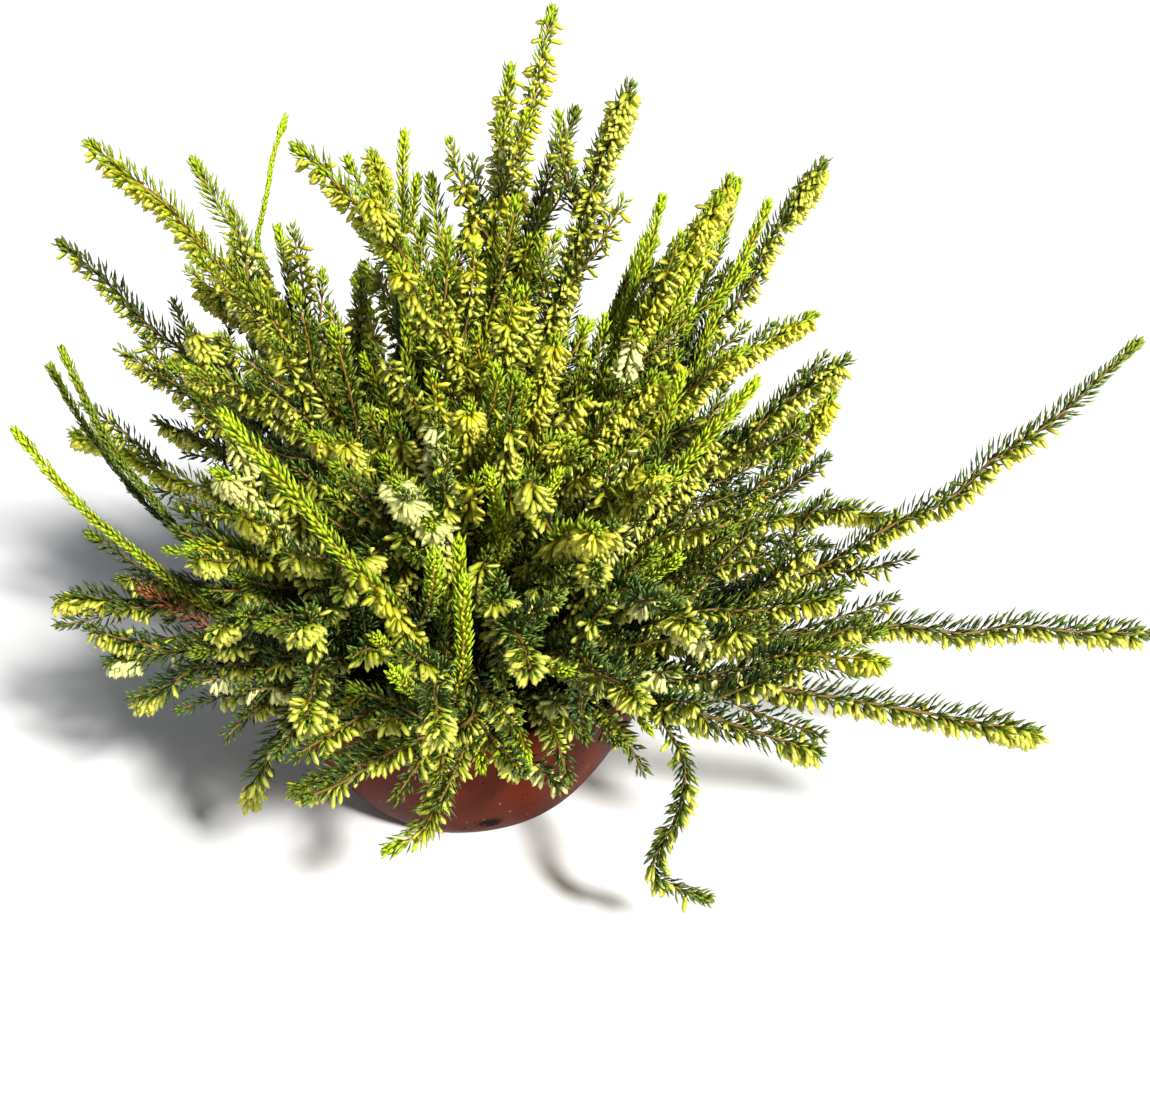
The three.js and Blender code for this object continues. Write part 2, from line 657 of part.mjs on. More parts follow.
function growNeedle({ corners, faces }, base, middle, out, { shoot, shoots, tangent, share }) {
  const slim = shoot.kind === SLIM;
  const nearTip = THREE.MathUtils.clamp((share - TIP_SPAN[0]) / (TIP_SPAN[1] - TIP_SPAN[0]), 0, 1);
  const fullAngle = slim ? SLIM_NEEDLE_ANGLE : NEEDLE_ANGLE;
  const fullLength = slim ? SLIM_NEEDLE_LENGTH : NEEDLE_LENGTH;
  const angle = radians(share === 1 ? TUFT_ANGLE : mix([fullAngle, TIP_NEEDLE_ANGLE], nearTip));
  const reach = mix([fullLength, TIP_NEEDLE_LENGTH], nearTip);
  const along = tangent.clone().multiplyScalar(Math.cos(angle)).addScaledVector(out, Math.sin(angle));
  for (const part of NEEDLE_PARTS) {
    const end = middle.clone().addScaledVector(along, reach * part);
    const half = middle.clone().lerp(end, 0.5);
    if ([end, half].every((p) => hasRoom(p, shoot, shoots, NEEDLE_MARGIN))) {
      const apex = corners.push(end) - 1;
      base.forEach((index, j) => faces.push([index, base[(j + 1) % base.length], apex]));
      return true;
    }
  }
  return false;
}

function growBud(skin, base, middle, out, { shoot, shoots, tangent }) {
  const { corners, faces } = skin;
  const along = out.clone().multiplyScalar(BUD_OUT).addScaledVector(DOWN, BUD_DROP)
    .addScaledVector(tangent, BUD_FORWARD).normalize();
  const belly = middle.clone().addScaledVector(along, BUD_BELLY * BUD_LENGTH);
  const end = middle.clone().addScaledVector(along, BUD_LENGTH);
  if (![end, belly].every((p) => hasRoom(p, shoot, shoots, BUD_MARGIN))) return false;
  const [a, b, c, d] = base;
  const foot = [a, b, c];
  const footMiddle = middleOf(foot.map((index) => corners[index]));
  const belt = foot.map((index) => {
    const spoke = corners[index].clone().sub(footMiddle);
    spoke.addScaledVector(along, -spoke.dot(along)).setLength(BUD_RADIUS);
    return corners.push(belly.clone().add(spoke)) - 1;
  });
  const apex = corners.push(end) - 1;
  faces.push([a, c, d]);
  for (let j = 0; j < STEM_SIDES; j++) {
    const next = (j + 1) % STEM_SIDES;
    addQuad(skin, [foot[j], foot[next], belt[next], belt[j]]);
    faces.push([belt[j], belt[next], apex]);
  }
  return true;
}

// A stem, the shoots that fork from it, and their needles and buds are one closed skin
function stemGeometry(stem, shoots) {
  const skin = { corners: [], faces: [] };
  growShoot(skin, stem, shoots, null);
  return skinGeometry(skin);
}

function piece(name, geometry, colour, roughness) {
  const material = new THREE.MeshStandardMaterial({ color: colour, roughness, metalness: 0 });
  const mesh = new THREE.Mesh(geometry, material);
  mesh.name = name;
  return mesh;
}

const shoots = makeShoots();
bendClear(shoots);
const stems = shoots.filter((shoot) => !shoot.parent);

const heath = new THREE.Group();
heath.add(piece('pot', potGeometry(), POT_COLOUR, 0.5));
heath.add(piece('soil', soilGeometry(stems), SOIL_COLOUR, 0.95));
for (const stem of stems) {
  heath.add(piece(`spray_${stem.name}`, stemGeometry(stem, shoots), COLOURS[stem.kind], 0.6));
}

export default heath;
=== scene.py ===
# %% [markdown]
# # A potted Darley Dale heath in bud
#
# A winter heath stands in a shallow bowl of moist soil. Fifty-eight woody stems fan out from one
# crown, and some of them fork. Each carries whorls of four thin needles, and most carry hanging
# buds behind their tips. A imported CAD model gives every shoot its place. This notebook clothes
# it, cell by cell.

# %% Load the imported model
import bpy
import json
import math
import numpy as np
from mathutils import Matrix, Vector

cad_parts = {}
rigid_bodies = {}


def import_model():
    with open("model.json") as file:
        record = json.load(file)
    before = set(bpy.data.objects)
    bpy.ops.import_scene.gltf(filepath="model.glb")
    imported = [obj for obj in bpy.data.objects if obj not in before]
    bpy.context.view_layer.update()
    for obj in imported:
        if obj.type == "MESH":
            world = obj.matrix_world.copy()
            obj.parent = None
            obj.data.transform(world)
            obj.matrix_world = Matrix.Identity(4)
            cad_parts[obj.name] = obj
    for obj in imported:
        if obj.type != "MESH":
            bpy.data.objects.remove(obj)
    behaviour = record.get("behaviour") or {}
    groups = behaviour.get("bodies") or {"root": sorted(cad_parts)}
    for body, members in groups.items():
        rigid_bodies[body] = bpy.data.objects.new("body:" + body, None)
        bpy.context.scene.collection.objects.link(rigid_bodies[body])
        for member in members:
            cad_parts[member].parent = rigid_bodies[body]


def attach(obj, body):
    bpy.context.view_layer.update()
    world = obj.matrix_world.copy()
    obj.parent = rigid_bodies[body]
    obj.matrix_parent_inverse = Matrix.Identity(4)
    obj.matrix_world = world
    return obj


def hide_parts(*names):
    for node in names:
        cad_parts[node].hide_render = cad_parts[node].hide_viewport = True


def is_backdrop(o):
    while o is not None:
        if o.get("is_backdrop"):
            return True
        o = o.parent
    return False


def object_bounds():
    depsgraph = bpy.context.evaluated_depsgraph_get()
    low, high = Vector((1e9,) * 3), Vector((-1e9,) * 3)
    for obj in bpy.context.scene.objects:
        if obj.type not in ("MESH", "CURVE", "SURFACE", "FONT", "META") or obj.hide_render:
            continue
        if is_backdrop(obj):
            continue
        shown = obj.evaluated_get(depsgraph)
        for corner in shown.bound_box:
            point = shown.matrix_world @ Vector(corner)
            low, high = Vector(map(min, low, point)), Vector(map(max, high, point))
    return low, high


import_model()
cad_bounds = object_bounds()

MM = 0.001
print("CAD box in metres:", [[round(v, 4) for v in corner] for corner in cad_bounds])

# %% [markdown]
# ## The camera
#
# The camera comes first, so that every later choice can be judged from it. It stands half a metre
# in front of the pot, at a standing person's view of a table, and looks down by 23 degrees.

# %% Camera
CAMERA_PLACE, CAMERA_PITCH = (0.050, -0.512, 0.333), 23
CAMERA_LENS, CAMERA_SENSOR = 39.13, 36


def add_object(name, data):
    """Adds an object to the scene, at the origin."""
    made = bpy.data.objects.new(name, data)
    bpy.context.collection.objects.link(made)
    return made


camera = add_object("camera", bpy.data.cameras.new("camera"))
camera.data.lens = CAMERA_LENS
camera.data.sensor_width = CAMERA_SENSOR
camera.data.dof.use_dof = False
camera.location = CAMERA_PLACE
camera.rotation_euler = (math.radians(90 - CAMERA_PITCH), 0, 0)
bpy.context.scene.camera = camera
print("camera", CAMERA_PLACE, "looks down", CAMERA_PITCH, "degrees")

# %% [markdown]
# ## Small helpers for node trees
#
# Materials, the world and Geometry Nodes are all graphs of nodes. These helpers add one node at a
# time and fill its inputs: a socket is linked, and anything else is set as the input's own value.

# %% Node helpers
def fill(tree, socket, value):
    """Links a socket to an input, or sets the input's value."""
    if isinstance(value, bpy.types.NodeSocket):
        tree.links.new(value, socket)
    else:
        socket.default_value = value


def add_node(tree, kind, inputs=(), **settings):
    """Adds a node with its settings, fills its inputs by name or by place, and returns it."""
    made = tree.nodes.new(kind)
    for name, value in settings.items():
        setattr(made, name, value)
    for name, value in dict(inputs).items():
        fill(tree, made.inputs[name], value)
    return made


def maths(tree, operation, *values):
    """Adds a Math node and returns its result."""
    return add_node(tree, "ShaderNodeMath", enumerate(values), operation=operation).outputs[0]


def vectors(tree, operation, *values):
    """Adds a Vector Math node and returns its result. SCALE takes a vector and a number."""
    places = (0, "Scale") if operation == "SCALE" else (0, 1)
    made = add_node(tree, "ShaderNodeVectorMath", zip(places, values), operation=operation)
    return made.outputs["Value" if operation in ("LENGTH", "DISTANCE") else "Vector"]


def part_of(tree, vector, axis):
    """Takes one number, X, Y or Z, out of a vector."""
    return add_node(tree, "ShaderNodeSeparateXYZ", {"Vector": vector}).outputs[axis]


def ramp_between(tree, value, low, high, to_low=0.0, to_high=1.0):
    """Adds a smooth Map Range node and returns its result."""
    return add_node(tree, "ShaderNodeMapRange", {
        "Value": value, "From Min": low, "From Max": high, "To Min": to_low,
        "To Max": to_high}, interpolation_type="SMOOTHSTEP").outputs["Result"]


def blend_colours(tree, share, first, second):
    """Adds a Mix node, whose colours go into inputs 6 and 7 and leave by output 2."""
    places = {0: share, 6: first, 7: second}
    return add_node(tree, "ShaderNodeMix", places, data_type="RGBA").outputs[2]


def noise(tree, place, scale, detail, roughness=0.5):
    """Adds a Noise Texture node and returns its value."""
    return add_node(tree, "ShaderNodeTexNoise", {
        "Vector": place, "Scale": scale, "Detail": detail, "Roughness": roughness}).outputs["Fac"]


def new_tree(name, kind, inputs, outputs):
    """Makes a node tree with named sockets, which are listed by their type.

    Returns the tree, the sockets of its given values, and the sockets that its results go to.
    """
    tree = bpy.data.node_groups.new(name, kind)
    for side, sockets in (("INPUT", inputs), ("OUTPUT", outputs)):
        for socket_type, names in sockets.items():
            for socket_name in names:
                tree.interface.new_socket(
                    name=socket_name, in_out=side, socket_type=socket_type)
    return tree, tree.nodes.new("NodeGroupInput").outputs, tree.nodes.new("NodeGroupOutput").inputs


def place_group(tree, group, inputs):
    """Places a node group with its values, and returns its first output."""
    kind = tree.bl_idname.replace("Tree", "Group")
    return add_node(tree, kind, inputs, node_tree=group).outputs[0]


print("node helpers ready")

# %% [markdown]
# ## Light and floor
#
# The real plant stands in clear daylight from the front right, on plain white ground. A sun lamp
# gives that direction, a weak panel opens the shadows on the left, and a dim world fills the rest.
# The camera sees the world in the floor's own brightness, worked out below, so no horizon shows.
# The Standard view keeps the fresh yellow-greens as vivid as they are in daylight.

# %% Lights and world
PLANT_MIDDLE = Vector((0.03, 0, 0.15))
SUN_FROM, SUN_STRENGTH, SUN_SOFTNESS = Vector((0.75, -0.95, 0.95)), 6.8, 8
SUN_COLOUR, FILL_COLOUR = np.array([1.0, 0.965, 0.89]), (0.93, 0.97, 1.0)
FILL_FROM, FILL_SIZE, FILL_WATTS = Vector((-1.3, -1.0, 0.9)), 1.5, 2.4
WORLD_COLOUR, WORLD_STRENGTH = np.array([0.93, 0.96, 1.0]), 0.15
FLOOR_COLOUR = np.array([0.86, 0.88, 0.93])


def add_lamp(name, kind, place, energy, colour):
    """Adds a lamp that looks at the middle of the plant, and returns its data."""
    lamp = add_object(name, bpy.data.lights.new(name, kind))
    lamp.data.energy = energy
    lamp.data.color = colour
    lamp.location = place
    lamp.rotation_euler = (PLANT_MIDDLE - place).to_track_quat("-Z", "Y").to_euler()
    return lamp.data


add_lamp("key", "SUN", SUN_FROM, SUN_STRENGTH, SUN_COLOUR).angle = math.radians(SUN_SOFTNESS)
add_lamp("fill", "AREA", FILL_FROM, FILL_WATTS, FILL_COLOUR).size = FILL_SIZE

sun_height = (SUN_FROM - PLANT_MIDDLE).normalized().z
sunlit = SUN_COLOUR * SUN_STRENGTH * sun_height / math.pi
world_light = WORLD_COLOUR * WORLD_STRENGTH
floor_seen = FLOOR_COLOUR * (sunlit + world_light)
world = bpy.data.worlds.new("daylight")
world.use_nodes = True
tree = world.node_tree
camera_ray = add_node(tree, "ShaderNodeLightPath").outputs["Is Camera Ray"]
sky = blend_colours(tree, camera_ray, (*world_light, 1), (*floor_seen, 1))
fill(tree, tree.nodes["Background"].inputs["Color"], sky)
bpy.context.scene.world = world
bpy.context.scene.view_settings.view_transform = "Standard"
print("two lamps, and a floor that is seen as", floor_seen.round(2))

# %% Floor
FLOOR_HALF, FLOOR_DROP = 100, 0.0005


def new_material(name):
    """Makes a material, and returns it with its tree and its Principled shader's inputs."""
    material = bpy.data.materials.new(name)
    material.use_nodes = True
    return material, material.node_tree, material.node_tree.nodes["Principled BSDF"].inputs


corners = [(x * FLOOR_HALF, y * FLOOR_HALF, 0) for x, y in ((-1, -1), (1, -1), (1, 1), (-1, 1))]
floor = add_object("floor", bpy.data.meshes.new("floor"))
floor.data.from_pydata(corners, [], [(0, 1, 2, 3)])
floor.location.z = -FLOOR_DROP
floor_paint, tree, surface = new_material("floor_paint")
surface["Base Color"].default_value = (*FLOOR_COLOUR, 1)
surface["Roughness"].default_value = 1.0
surface["Specular IOR Level"].default_value = 0.0
floor.data.materials.append(floor_paint)
floor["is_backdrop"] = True
print("floor", 2 * FLOOR_HALF, "m wide")

# %% [markdown]
# ## Shared effects
#
# Three effects are used by more than one finish, so each is a node group made once. Ageing blends
# an old colour into a fresh one and gives every needle, bud and stem its own slight tint. Specks
# gives scattered round spots. Relief gives fine bumps at two sizes.

# %% Shader groups
COLOUR, NUMBER, ARROW = "NodeSocketColor", "NodeSocketFloat", "NodeSocketVector"
HUE_SWING, SPECK_CORE, FINE_SHARE = 0.07, 0.6, 0.4


def srgb(red, green, blue):
    """Turns a colour of 0 to 255 into the linear values that nodes expect."""
    def linear(value):
        value /= 255
        return value / 12.92 if value <= 0.04045 else ((value + 0.055) / 1.055) ** 2.4
    return (linear(red), linear(green), linear(blue), 1)


ageing, given, result = new_tree(
    "Ageing", "ShaderNodeTree",
    {COLOUR: ["Old", "Fresh"], NUMBER: ["Freshness", "Tint", "Variety"]}, {COLOUR: ["Colour"]})
aged = blend_colours(ageing, given["Freshness"], given["Old"], given["Fresh"])
swing = maths(ageing, "MULTIPLY", maths(ageing, "SUBTRACT", given["Tint"], 0.5), given["Variety"])
varied = add_node(ageing, "ShaderNodeHueSaturation", {
    "Hue": maths(ageing, "ADD", 0.5, maths(ageing, "MULTIPLY", swing, HUE_SWING)),
    "Value": maths(ageing, "ADD", 1.0, swing), "Color": aged})
fill(ageing, result["Colour"], varied.outputs["Color"])

specks, given, result = new_tree(
    "Specks", "ShaderNodeTree",
    {ARROW: ["Place"], NUMBER: ["Scale", "Size", "Scarcity"]}, {NUMBER: ["Mask"]})
cells = add_node(specks, "ShaderNodeTexVoronoi",
                 {"Vector": given["Place"], "Scale": given["Scale"]}).outputs
cell_number = add_node(specks, "ShaderNodeSeparateColor", {"Color": cells["Color"]}).outputs[0]
near = ramp_between(specks, cells["Distance"],
                    maths(specks, "MULTIPLY", given["Size"], SPECK_CORE), given["Size"], 1, 0)
kept = maths(specks, "GREATER_THAN", cell_number, given["Scarcity"])
fill(specks, result["Mask"], maths(specks, "MULTIPLY", near, kept))

relief, given, result = new_tree(
    "Relief", "ShaderNodeTree",
    {ARROW: ["Place"], NUMBER: ["Coarse", "Fine"]}, {NUMBER: ["Height"]})
coarse, fine = (noise(relief, given["Place"], given[size], detail)
                for size, detail in (("Coarse", 2), ("Fine", 0)))
fill(relief, result["Height"], maths(relief, "MULTIPLY_ADD", fine, FINE_SHARE, coarse))
print("shader groups:", [g.name for g in bpy.data.node_groups])

# %% [markdown]
# ## Finishes of the plant
#
# A needle is dark green once it is old and lime when it is fresh, with a paler point. A bud is
# green at its calyx and runs to a creamy yellow tip. Bark is orange-brown, and yellower near a
# growing tip. All three read attributes that the shoots carry, so one material serves every shoot.

# %% Materials of needles, buds and bark
DRY_COLOUR = srgb(139, 78, 48)
FRESH_HIDES_POINT, SEAM_SHARE = 0.6, 0.6
SKIN_BUMPS, SKIN_STRENGTH = {"Coarse": 700, "Fine": 2600}, 0.6


def carried(tree, name):
    """Reads a number that the mesh carries."""
    return add_node(tree, "ShaderNodeAttribute", attribute_name=name).outputs["Fac"]


def object_place(tree):
    """The place on the piece that a pattern follows."""
    return add_node(tree, "ShaderNodeTexCoord").outputs["Object"]


def raise_surface(tree, surface, height, distance, strength):
    """Bumps a surface. The distance, in metres, is how high a height of one stands."""
    bumped = add_node(tree, "ShaderNodeBump",
                      {"Height": height, "Distance": distance, "Strength": strength})
    fill(tree, surface["Normal"], bumped.outputs["Normal"])


def plant_material(name, old, fresh, variety, seam, roughness, bump, point=None, pale=None):
    """A material that follows age, tint, and the place along and round each needle or bud.

    point is the colour of the tip, where along the length it begins, and its greatest share.
    """
    material, tree, surface = new_material(name)
    colour = place_group(tree, ageing, {
        "Old": old, "Fresh": fresh, "Freshness": carried(tree, "fresh"),
        "Tint": carried(tree, "tint"), "Variety": variety})
    if point:
        point_colour, begins, greatest = point
        at_point = ramp_between(tree, carried(tree, "along"), begins, 1.0, 0.0, greatest)
        unhidden = maths(tree, "MULTIPLY_ADD", carried(tree, "fresh"), -FRESH_HIDES_POINT, 1.0)
        colour = blend_colours(
            tree, maths(tree, "MULTIPLY", at_point, unhidden), colour, point_colour)
    in_seam = maths(tree, "MULTIPLY", carried(tree, "seam"), SEAM_SHARE)
    colour = blend_colours(tree, in_seam, colour, seam)
    if pale:
        colour = blend_colours(tree, carried(tree, "pale"), colour, pale)
    colour = blend_colours(tree, carried(tree, "dry"), colour, DRY_COLOUR)
    fill(tree, surface["Base Color"], colour)
    surface["Roughness"].default_value = roughness
    height = place_group(tree, relief, {"Place": object_place(tree), **SKIN_BUMPS})
    raise_surface(tree, surface, height, bump, SKIN_STRENGTH)
    return material


needle_skin = plant_material(
    "needle_skin", srgb(26, 54, 12), srgb(180, 204, 18), variety=0.5, seam=srgb(64, 98, 24),
    roughness=0.38, bump=0.06 * MM, point=(srgb(170, 188, 62), 0.7, 0.25))
bark = plant_material(
    "bark", srgb(118, 98, 40), srgb(198, 168, 44), variety=0.3, seam=srgb(92, 76, 32),
    roughness=0.7, bump=0.3 * MM)
bud_skin = plant_material(
    "bud_skin", srgb(142, 152, 22), srgb(216, 206, 24), variety=0.3, seam=srgb(144, 156, 32),
    roughness=0.4, bump=0.05 * MM, point=(srgb(238, 234, 110), 0.3, 0.78),
    pale=srgb(230, 232, 172))
print("plant materials:", needle_skin.name, bark.name, bud_skin.name)

# %% [markdown]
# ## Finishes of the pot and the soil
#
# The bowl is thin moulded plastic in terracotta brown: slightly cloudy, almost matt, with crumbs
# of compost stuck to it, one dark smudge of it low in front, and a dusty film that collects low
# down. The compost is almost black, because it is moist, with lighter fibres in it.

# %% Materials of pot and soil
POT_HEIGHT = 76 * MM
DUST_HEIGHT = 0.55 * POT_HEIGHT
SMUDGE_PLACE = (13 * MM, -60 * MM, 12 * MM)
SMUDGE_RADII, SMUDGE_RAGGED = (12 * MM, 17 * MM), 16 * MM
BOWL_ROUGHNESS, DUST_ROUGHENS, STUCK_ROUGHNESS, STUCK_STANDS_OUT = 0.42, 0.3, 0.9, 1.5
GRIT_SHARE, FIBRE_SHARE = 0.8, 0.7


def speckled(tree, place, scale, size, scarcity):
    return place_group(tree, specks, {
        "Place": place, "Scale": scale, "Size": size, "Scarcity": scarcity})


bowl_plastic, tree, surface = new_material("bowl_plastic")
place = object_place(tree)
cloud = noise(tree, place, scale=28, detail=5, roughness=0.6)
clouded = ramp_between(tree, cloud, 0.32, 0.7)
colour = blend_colours(tree, clouded, srgb(72, 21, 5), srgb(92, 29, 6))
low_down = ramp_between(tree, part_of(tree, place, "Z"), 0.0, DUST_HEIGHT, 1, 0)
dust = maths(tree, "MULTIPLY", low_down, ramp_between(tree, cloud, 0.45, 0.62, 0.05, 0.55))
colour = blend_colours(tree, dust, colour, srgb(62, 38, 26))
from_smudge = vectors(tree, "DISTANCE", place, SMUDGE_PLACE)
ragged = maths(tree, "MULTIPLY_ADD", cloud, SMUDGE_RAGGED, from_smudge)
stuck = ramp_between(tree, ragged, *SMUDGE_RADII, 1, 0)
for scale, size, scarcity in ((150, 0.16, 0.86), (430, 0.3, 0.84)):
    stuck = maths(tree, "MAXIMUM", stuck, speckled(tree, place, scale, size, scarcity))
colour = blend_colours(tree, stuck, colour, srgb(30, 21, 15))
grit = speckled(tree, place, scale=270, size=0.2, scarcity=0.86)
grit = maths(tree, "MULTIPLY", grit, GRIT_SHARE)
fill(tree, surface["Base Color"], blend_colours(tree, grit, colour, srgb(150, 108, 84)))
dusty = maths(tree, "MULTIPLY_ADD", dust, DUST_ROUGHENS, BOWL_ROUGHNESS)
earthy = maths(tree, "MULTIPLY", stuck, STUCK_ROUGHNESS)
fill(tree, surface["Roughness"], maths(tree, "MAXIMUM", dusty, earthy))
surface["Specular IOR Level"].default_value = 0.03
skin = place_group(tree, relief, {"Place": place, "Coarse": 160, "Fine": 1500})
height = maths(tree, "MULTIPLY_ADD", stuck, STUCK_STANDS_OUT, skin)
raise_surface(tree, surface, height, distance=0.25 * MM, strength=0.5)

moist_earth, tree, surface = new_material("moist_earth")
place = object_place(tree)
lumps = noise(tree, place, scale=160, detail=6, roughness=0.65)
lumps = ramp_between(tree, lumps, 0.35, 0.7)
colour = blend_colours(tree, lumps, srgb(14, 11, 9), srgb(42, 32, 24))
fibres = speckled(tree, place, scale=520, size=0.35, scarcity=0.9)
fibres = maths(tree, "MULTIPLY", fibres, FIBRE_SHARE)
fill(tree, surface["Base Color"], blend_colours(tree, fibres, colour, srgb(104, 80, 56)))
surface["Roughness"].default_value = 0.92
crumble = place_group(tree, relief, {"Place": place, "Coarse": 320, "Fine": 1400})
raise_surface(tree, surface, crumble, distance=1.2 * MM, strength=0.8)

dry_straw, tree, surface = new_material("dry_straw")
streaks = place_group(tree, relief, {"Place": object_place(tree), "Coarse": 500, "Fine": 2200})
colour = blend_colours(
    tree, ramp_between(tree, streaks, 0.4, 1.0), srgb(112, 86, 58), srgb(178, 148, 104))
fill(tree, surface["Base Color"], colour)
surface["Roughness"].default_value = 0.85
raise_surface(tree, surface, streaks, distance=0.2 * MM, strength=0.6)
print("pot and soil materials:", bowl_plastic.name, moist_earth.name, dry_straw.name)

# %% [markdown]
# ## The bowl
#
# The real pot is a thin bowl with a flat base and a plain rounded rim. Its radius grows with a
# power of the height, so a profile that is spun round the upright axis gives it exactly. Four
# drain holes are cut through the floor.

# %% Pot
POT_RIM_RADIUS, POT_BASE_RADIUS, POT_CURVE = 95 * MM, 48 * MM, 0.72
POT_WALL, POT_FLOOR, POT_FILLET = 2.5 * MM, 3 * MM, 1 * MM
BASE_CHAMFER = (1.2 * MM, 0.8 * MM)
POT_SIDES, POT_STEPS, LIP_STEPS, STEPS_LOW_DOWN = 96, 14, 6, 1.4
DRAIN_COUNT, DRAIN_RADIUS, DRAIN_CIRCLE = 4, 3 * MM, 30 * MM
DRILL_FROM, DRILL_TO, DRILL_SIDES = -4 * MM, 8 * MM, 16


def pot_outer(z):
    share = np.clip(np.asarray(z) / POT_HEIGHT, 0, 1)
    return POT_BASE_RADIUS + (POT_RIM_RADIUS - POT_BASE_RADIUS) * share ** POT_CURVE


def ring(radius, z, sides):
    """Points round the upright axis."""
    return [(radius * math.cos(2 * math.pi * i / sides), radius * math.sin(2 * math.pi * i / sides),
             z) for i in range(sides)]


def spin_profile(name, profile, sides):
    """Spins pairs of radius and height round +Z. A radius of 0 becomes a single pole point."""
    points, rings, faces = [], [], []
    for radius, z in profile:
        if radius == 0:
            rings.append([len(points)] * sides)
            points.append((0, 0, z))
        else:
            rings.append([len(points) + i for i in range(sides)])
            points += ring(radius, z, sides)
    for lower, upper in zip(rings, rings[1:]):
        for i in range(sides):
            j = (i + 1) % sides
            faces.append(list(dict.fromkeys([lower[i], lower[j], upper[j], upper[i]])))
    mesh = bpy.data.meshes.new(name)
    mesh.from_pydata(points, [], faces)
    mesh.validate()
    return mesh


lip = POT_WALL / 2
wall_top = POT_HEIGHT - lip
low_heights = wall_top * np.linspace(0, 1, POT_STEPS) ** STEPS_LOW_DOWN
outside = [(float(pot_outer(z)), float(z)) for z in low_heights]
inside = [(float(pot_outer(z)) - POT_WALL, float(z)) for z in low_heights if z > POT_FLOOR]
lip_middle = outside[-1][0] - lip
crest = [(lip_middle + lip * math.cos(a), wall_top + lip * math.sin(a))
         for a in np.linspace(0, math.pi, LIP_STEPS + 2)[1:-1]]
base = [(0, 0), (POT_BASE_RADIUS - BASE_CHAMFER[0], 0), (POT_BASE_RADIUS, BASE_CHAMFER[1])]
pot_floor = [(inside[0][0] - POT_FILLET, POT_FLOOR), (0, POT_FLOOR)]
profile = base + outside[1:] + crest + inside[::-1] + pot_floor
pot_blank = add_object("pot_blank", spin_profile("pot_blank", profile, POT_SIDES))
drill_profile = [(0, DRILL_FROM), (DRAIN_RADIUS, DRILL_FROM),
                 (DRAIN_RADIUS, DRILL_TO), (0, DRILL_TO)]
drills = []
for x, y, z in ring(DRAIN_CIRCLE, 0, 2 * DRAIN_COUNT)[1::2]:
    drill = add_object("drill", spin_profile("drill", drill_profile, DRILL_SIDES))
    drill.location = (x, y, z)
    cut = pot_blank.modifiers.new("drain", "BOOLEAN")
    cut.object, cut.operation, cut.solver = drill, "DIFFERENCE", "EXACT"
    drills.append(drill)
print("pot profile of", len(profile), "points,", DRAIN_COUNT, "drain holes")

# %% [markdown]
# ## Finished pieces
#
# Every piece ends as a plain mesh at the origin: the modifiers are worked out once, the result
# becomes a new object, and the helper goes. Then the piece is attached to the body it rides on,
# and the CAD nodes that it stands for are hidden.

# %% Turning helpers into pieces
SHARP_ANGLE = 40


def finish_piece(helper, name, nodes, materials=()):
    """Makes a piece of a helper object as its modifiers show it, and removes the helper."""
    graph = bpy.context.evaluated_depsgraph_get()
    mesh = bpy.data.meshes.new_from_object(
        helper.evaluated_get(graph), preserve_all_data_layers=True, depsgraph=graph)
    mesh.name = name
    if materials:
        mesh.materials.clear()
        for material in materials:
            mesh.materials.append(material)
    for index in reversed(range(len(mesh.materials))):
        if mesh.materials[index] is None:
            mesh.materials.pop(index=index)
    bpy.data.objects.remove(helper)
    piece = add_object(name, mesh)
    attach(piece, "root")
    if nodes:
        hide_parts(*nodes)
    return piece


def triangle_count(mesh):
    return sum(len(face.vertices) - 2 for face in mesh.polygons)


pot = finish_piece(pot_blank, "bowl", ["pot"], [bowl_plastic])
pot.data.shade_smooth()
pot.data.set_sharp_from_angle(angle=math.radians(SHARP_ANGLE))
for drill in drills:
    bpy.data.objects.remove(drill)
print("bowl:", triangle_count(pot.data), "triangles")

# %% [markdown]
# ## The compost
#
# The soil fills the bowl to a little below the rim. Its surface is a fine disc pushed up and down
# by low swells and small lumps. A Geometry Nodes tree then scatters crumbs and bits of dry stem
# over it. They end as real geometry, because instances are dropped when the model is exported.

# %% Soil body
SOIL_TOP, SOIL_GAP, SURFACE_SLACK = 68 * MM, 0.6 * MM, 0.1 * MM
SOIL_RINGS, SOIL_SIDES = 26, 72
SOIL_FLAT_RIM, SOIL_FADE = 5 * MM, 18 * MM
SWELL_HEIGHT, LUMP_HEIGHT = 0.9 * MM, 0.55 * MM
CROWN_RADIUS = 42 * MM


def soil_height(x, y):
    """The height of the soil at a place: low swells, small lumps, and flat at the wall."""
    edge = min(1.0, (POT_RIM_RADIUS - SOIL_FLAT_RIM - math.hypot(x, y)) / SOIL_FADE)
    swell = math.sin(58 * x + 1.3) * math.cos(49 * y - 0.7) + 0.5 * math.sin(131 * x + 97 * y)
    lump = (math.sin(410 * x + 2 * math.sin(300 * y))
            * math.sin(370 * y + 1.7 * math.sin(260 * x)))
    return SOIL_TOP + max(edge, 0.0) * (SWELL_HEIGHT * swell + LUMP_HEIGHT * lump)


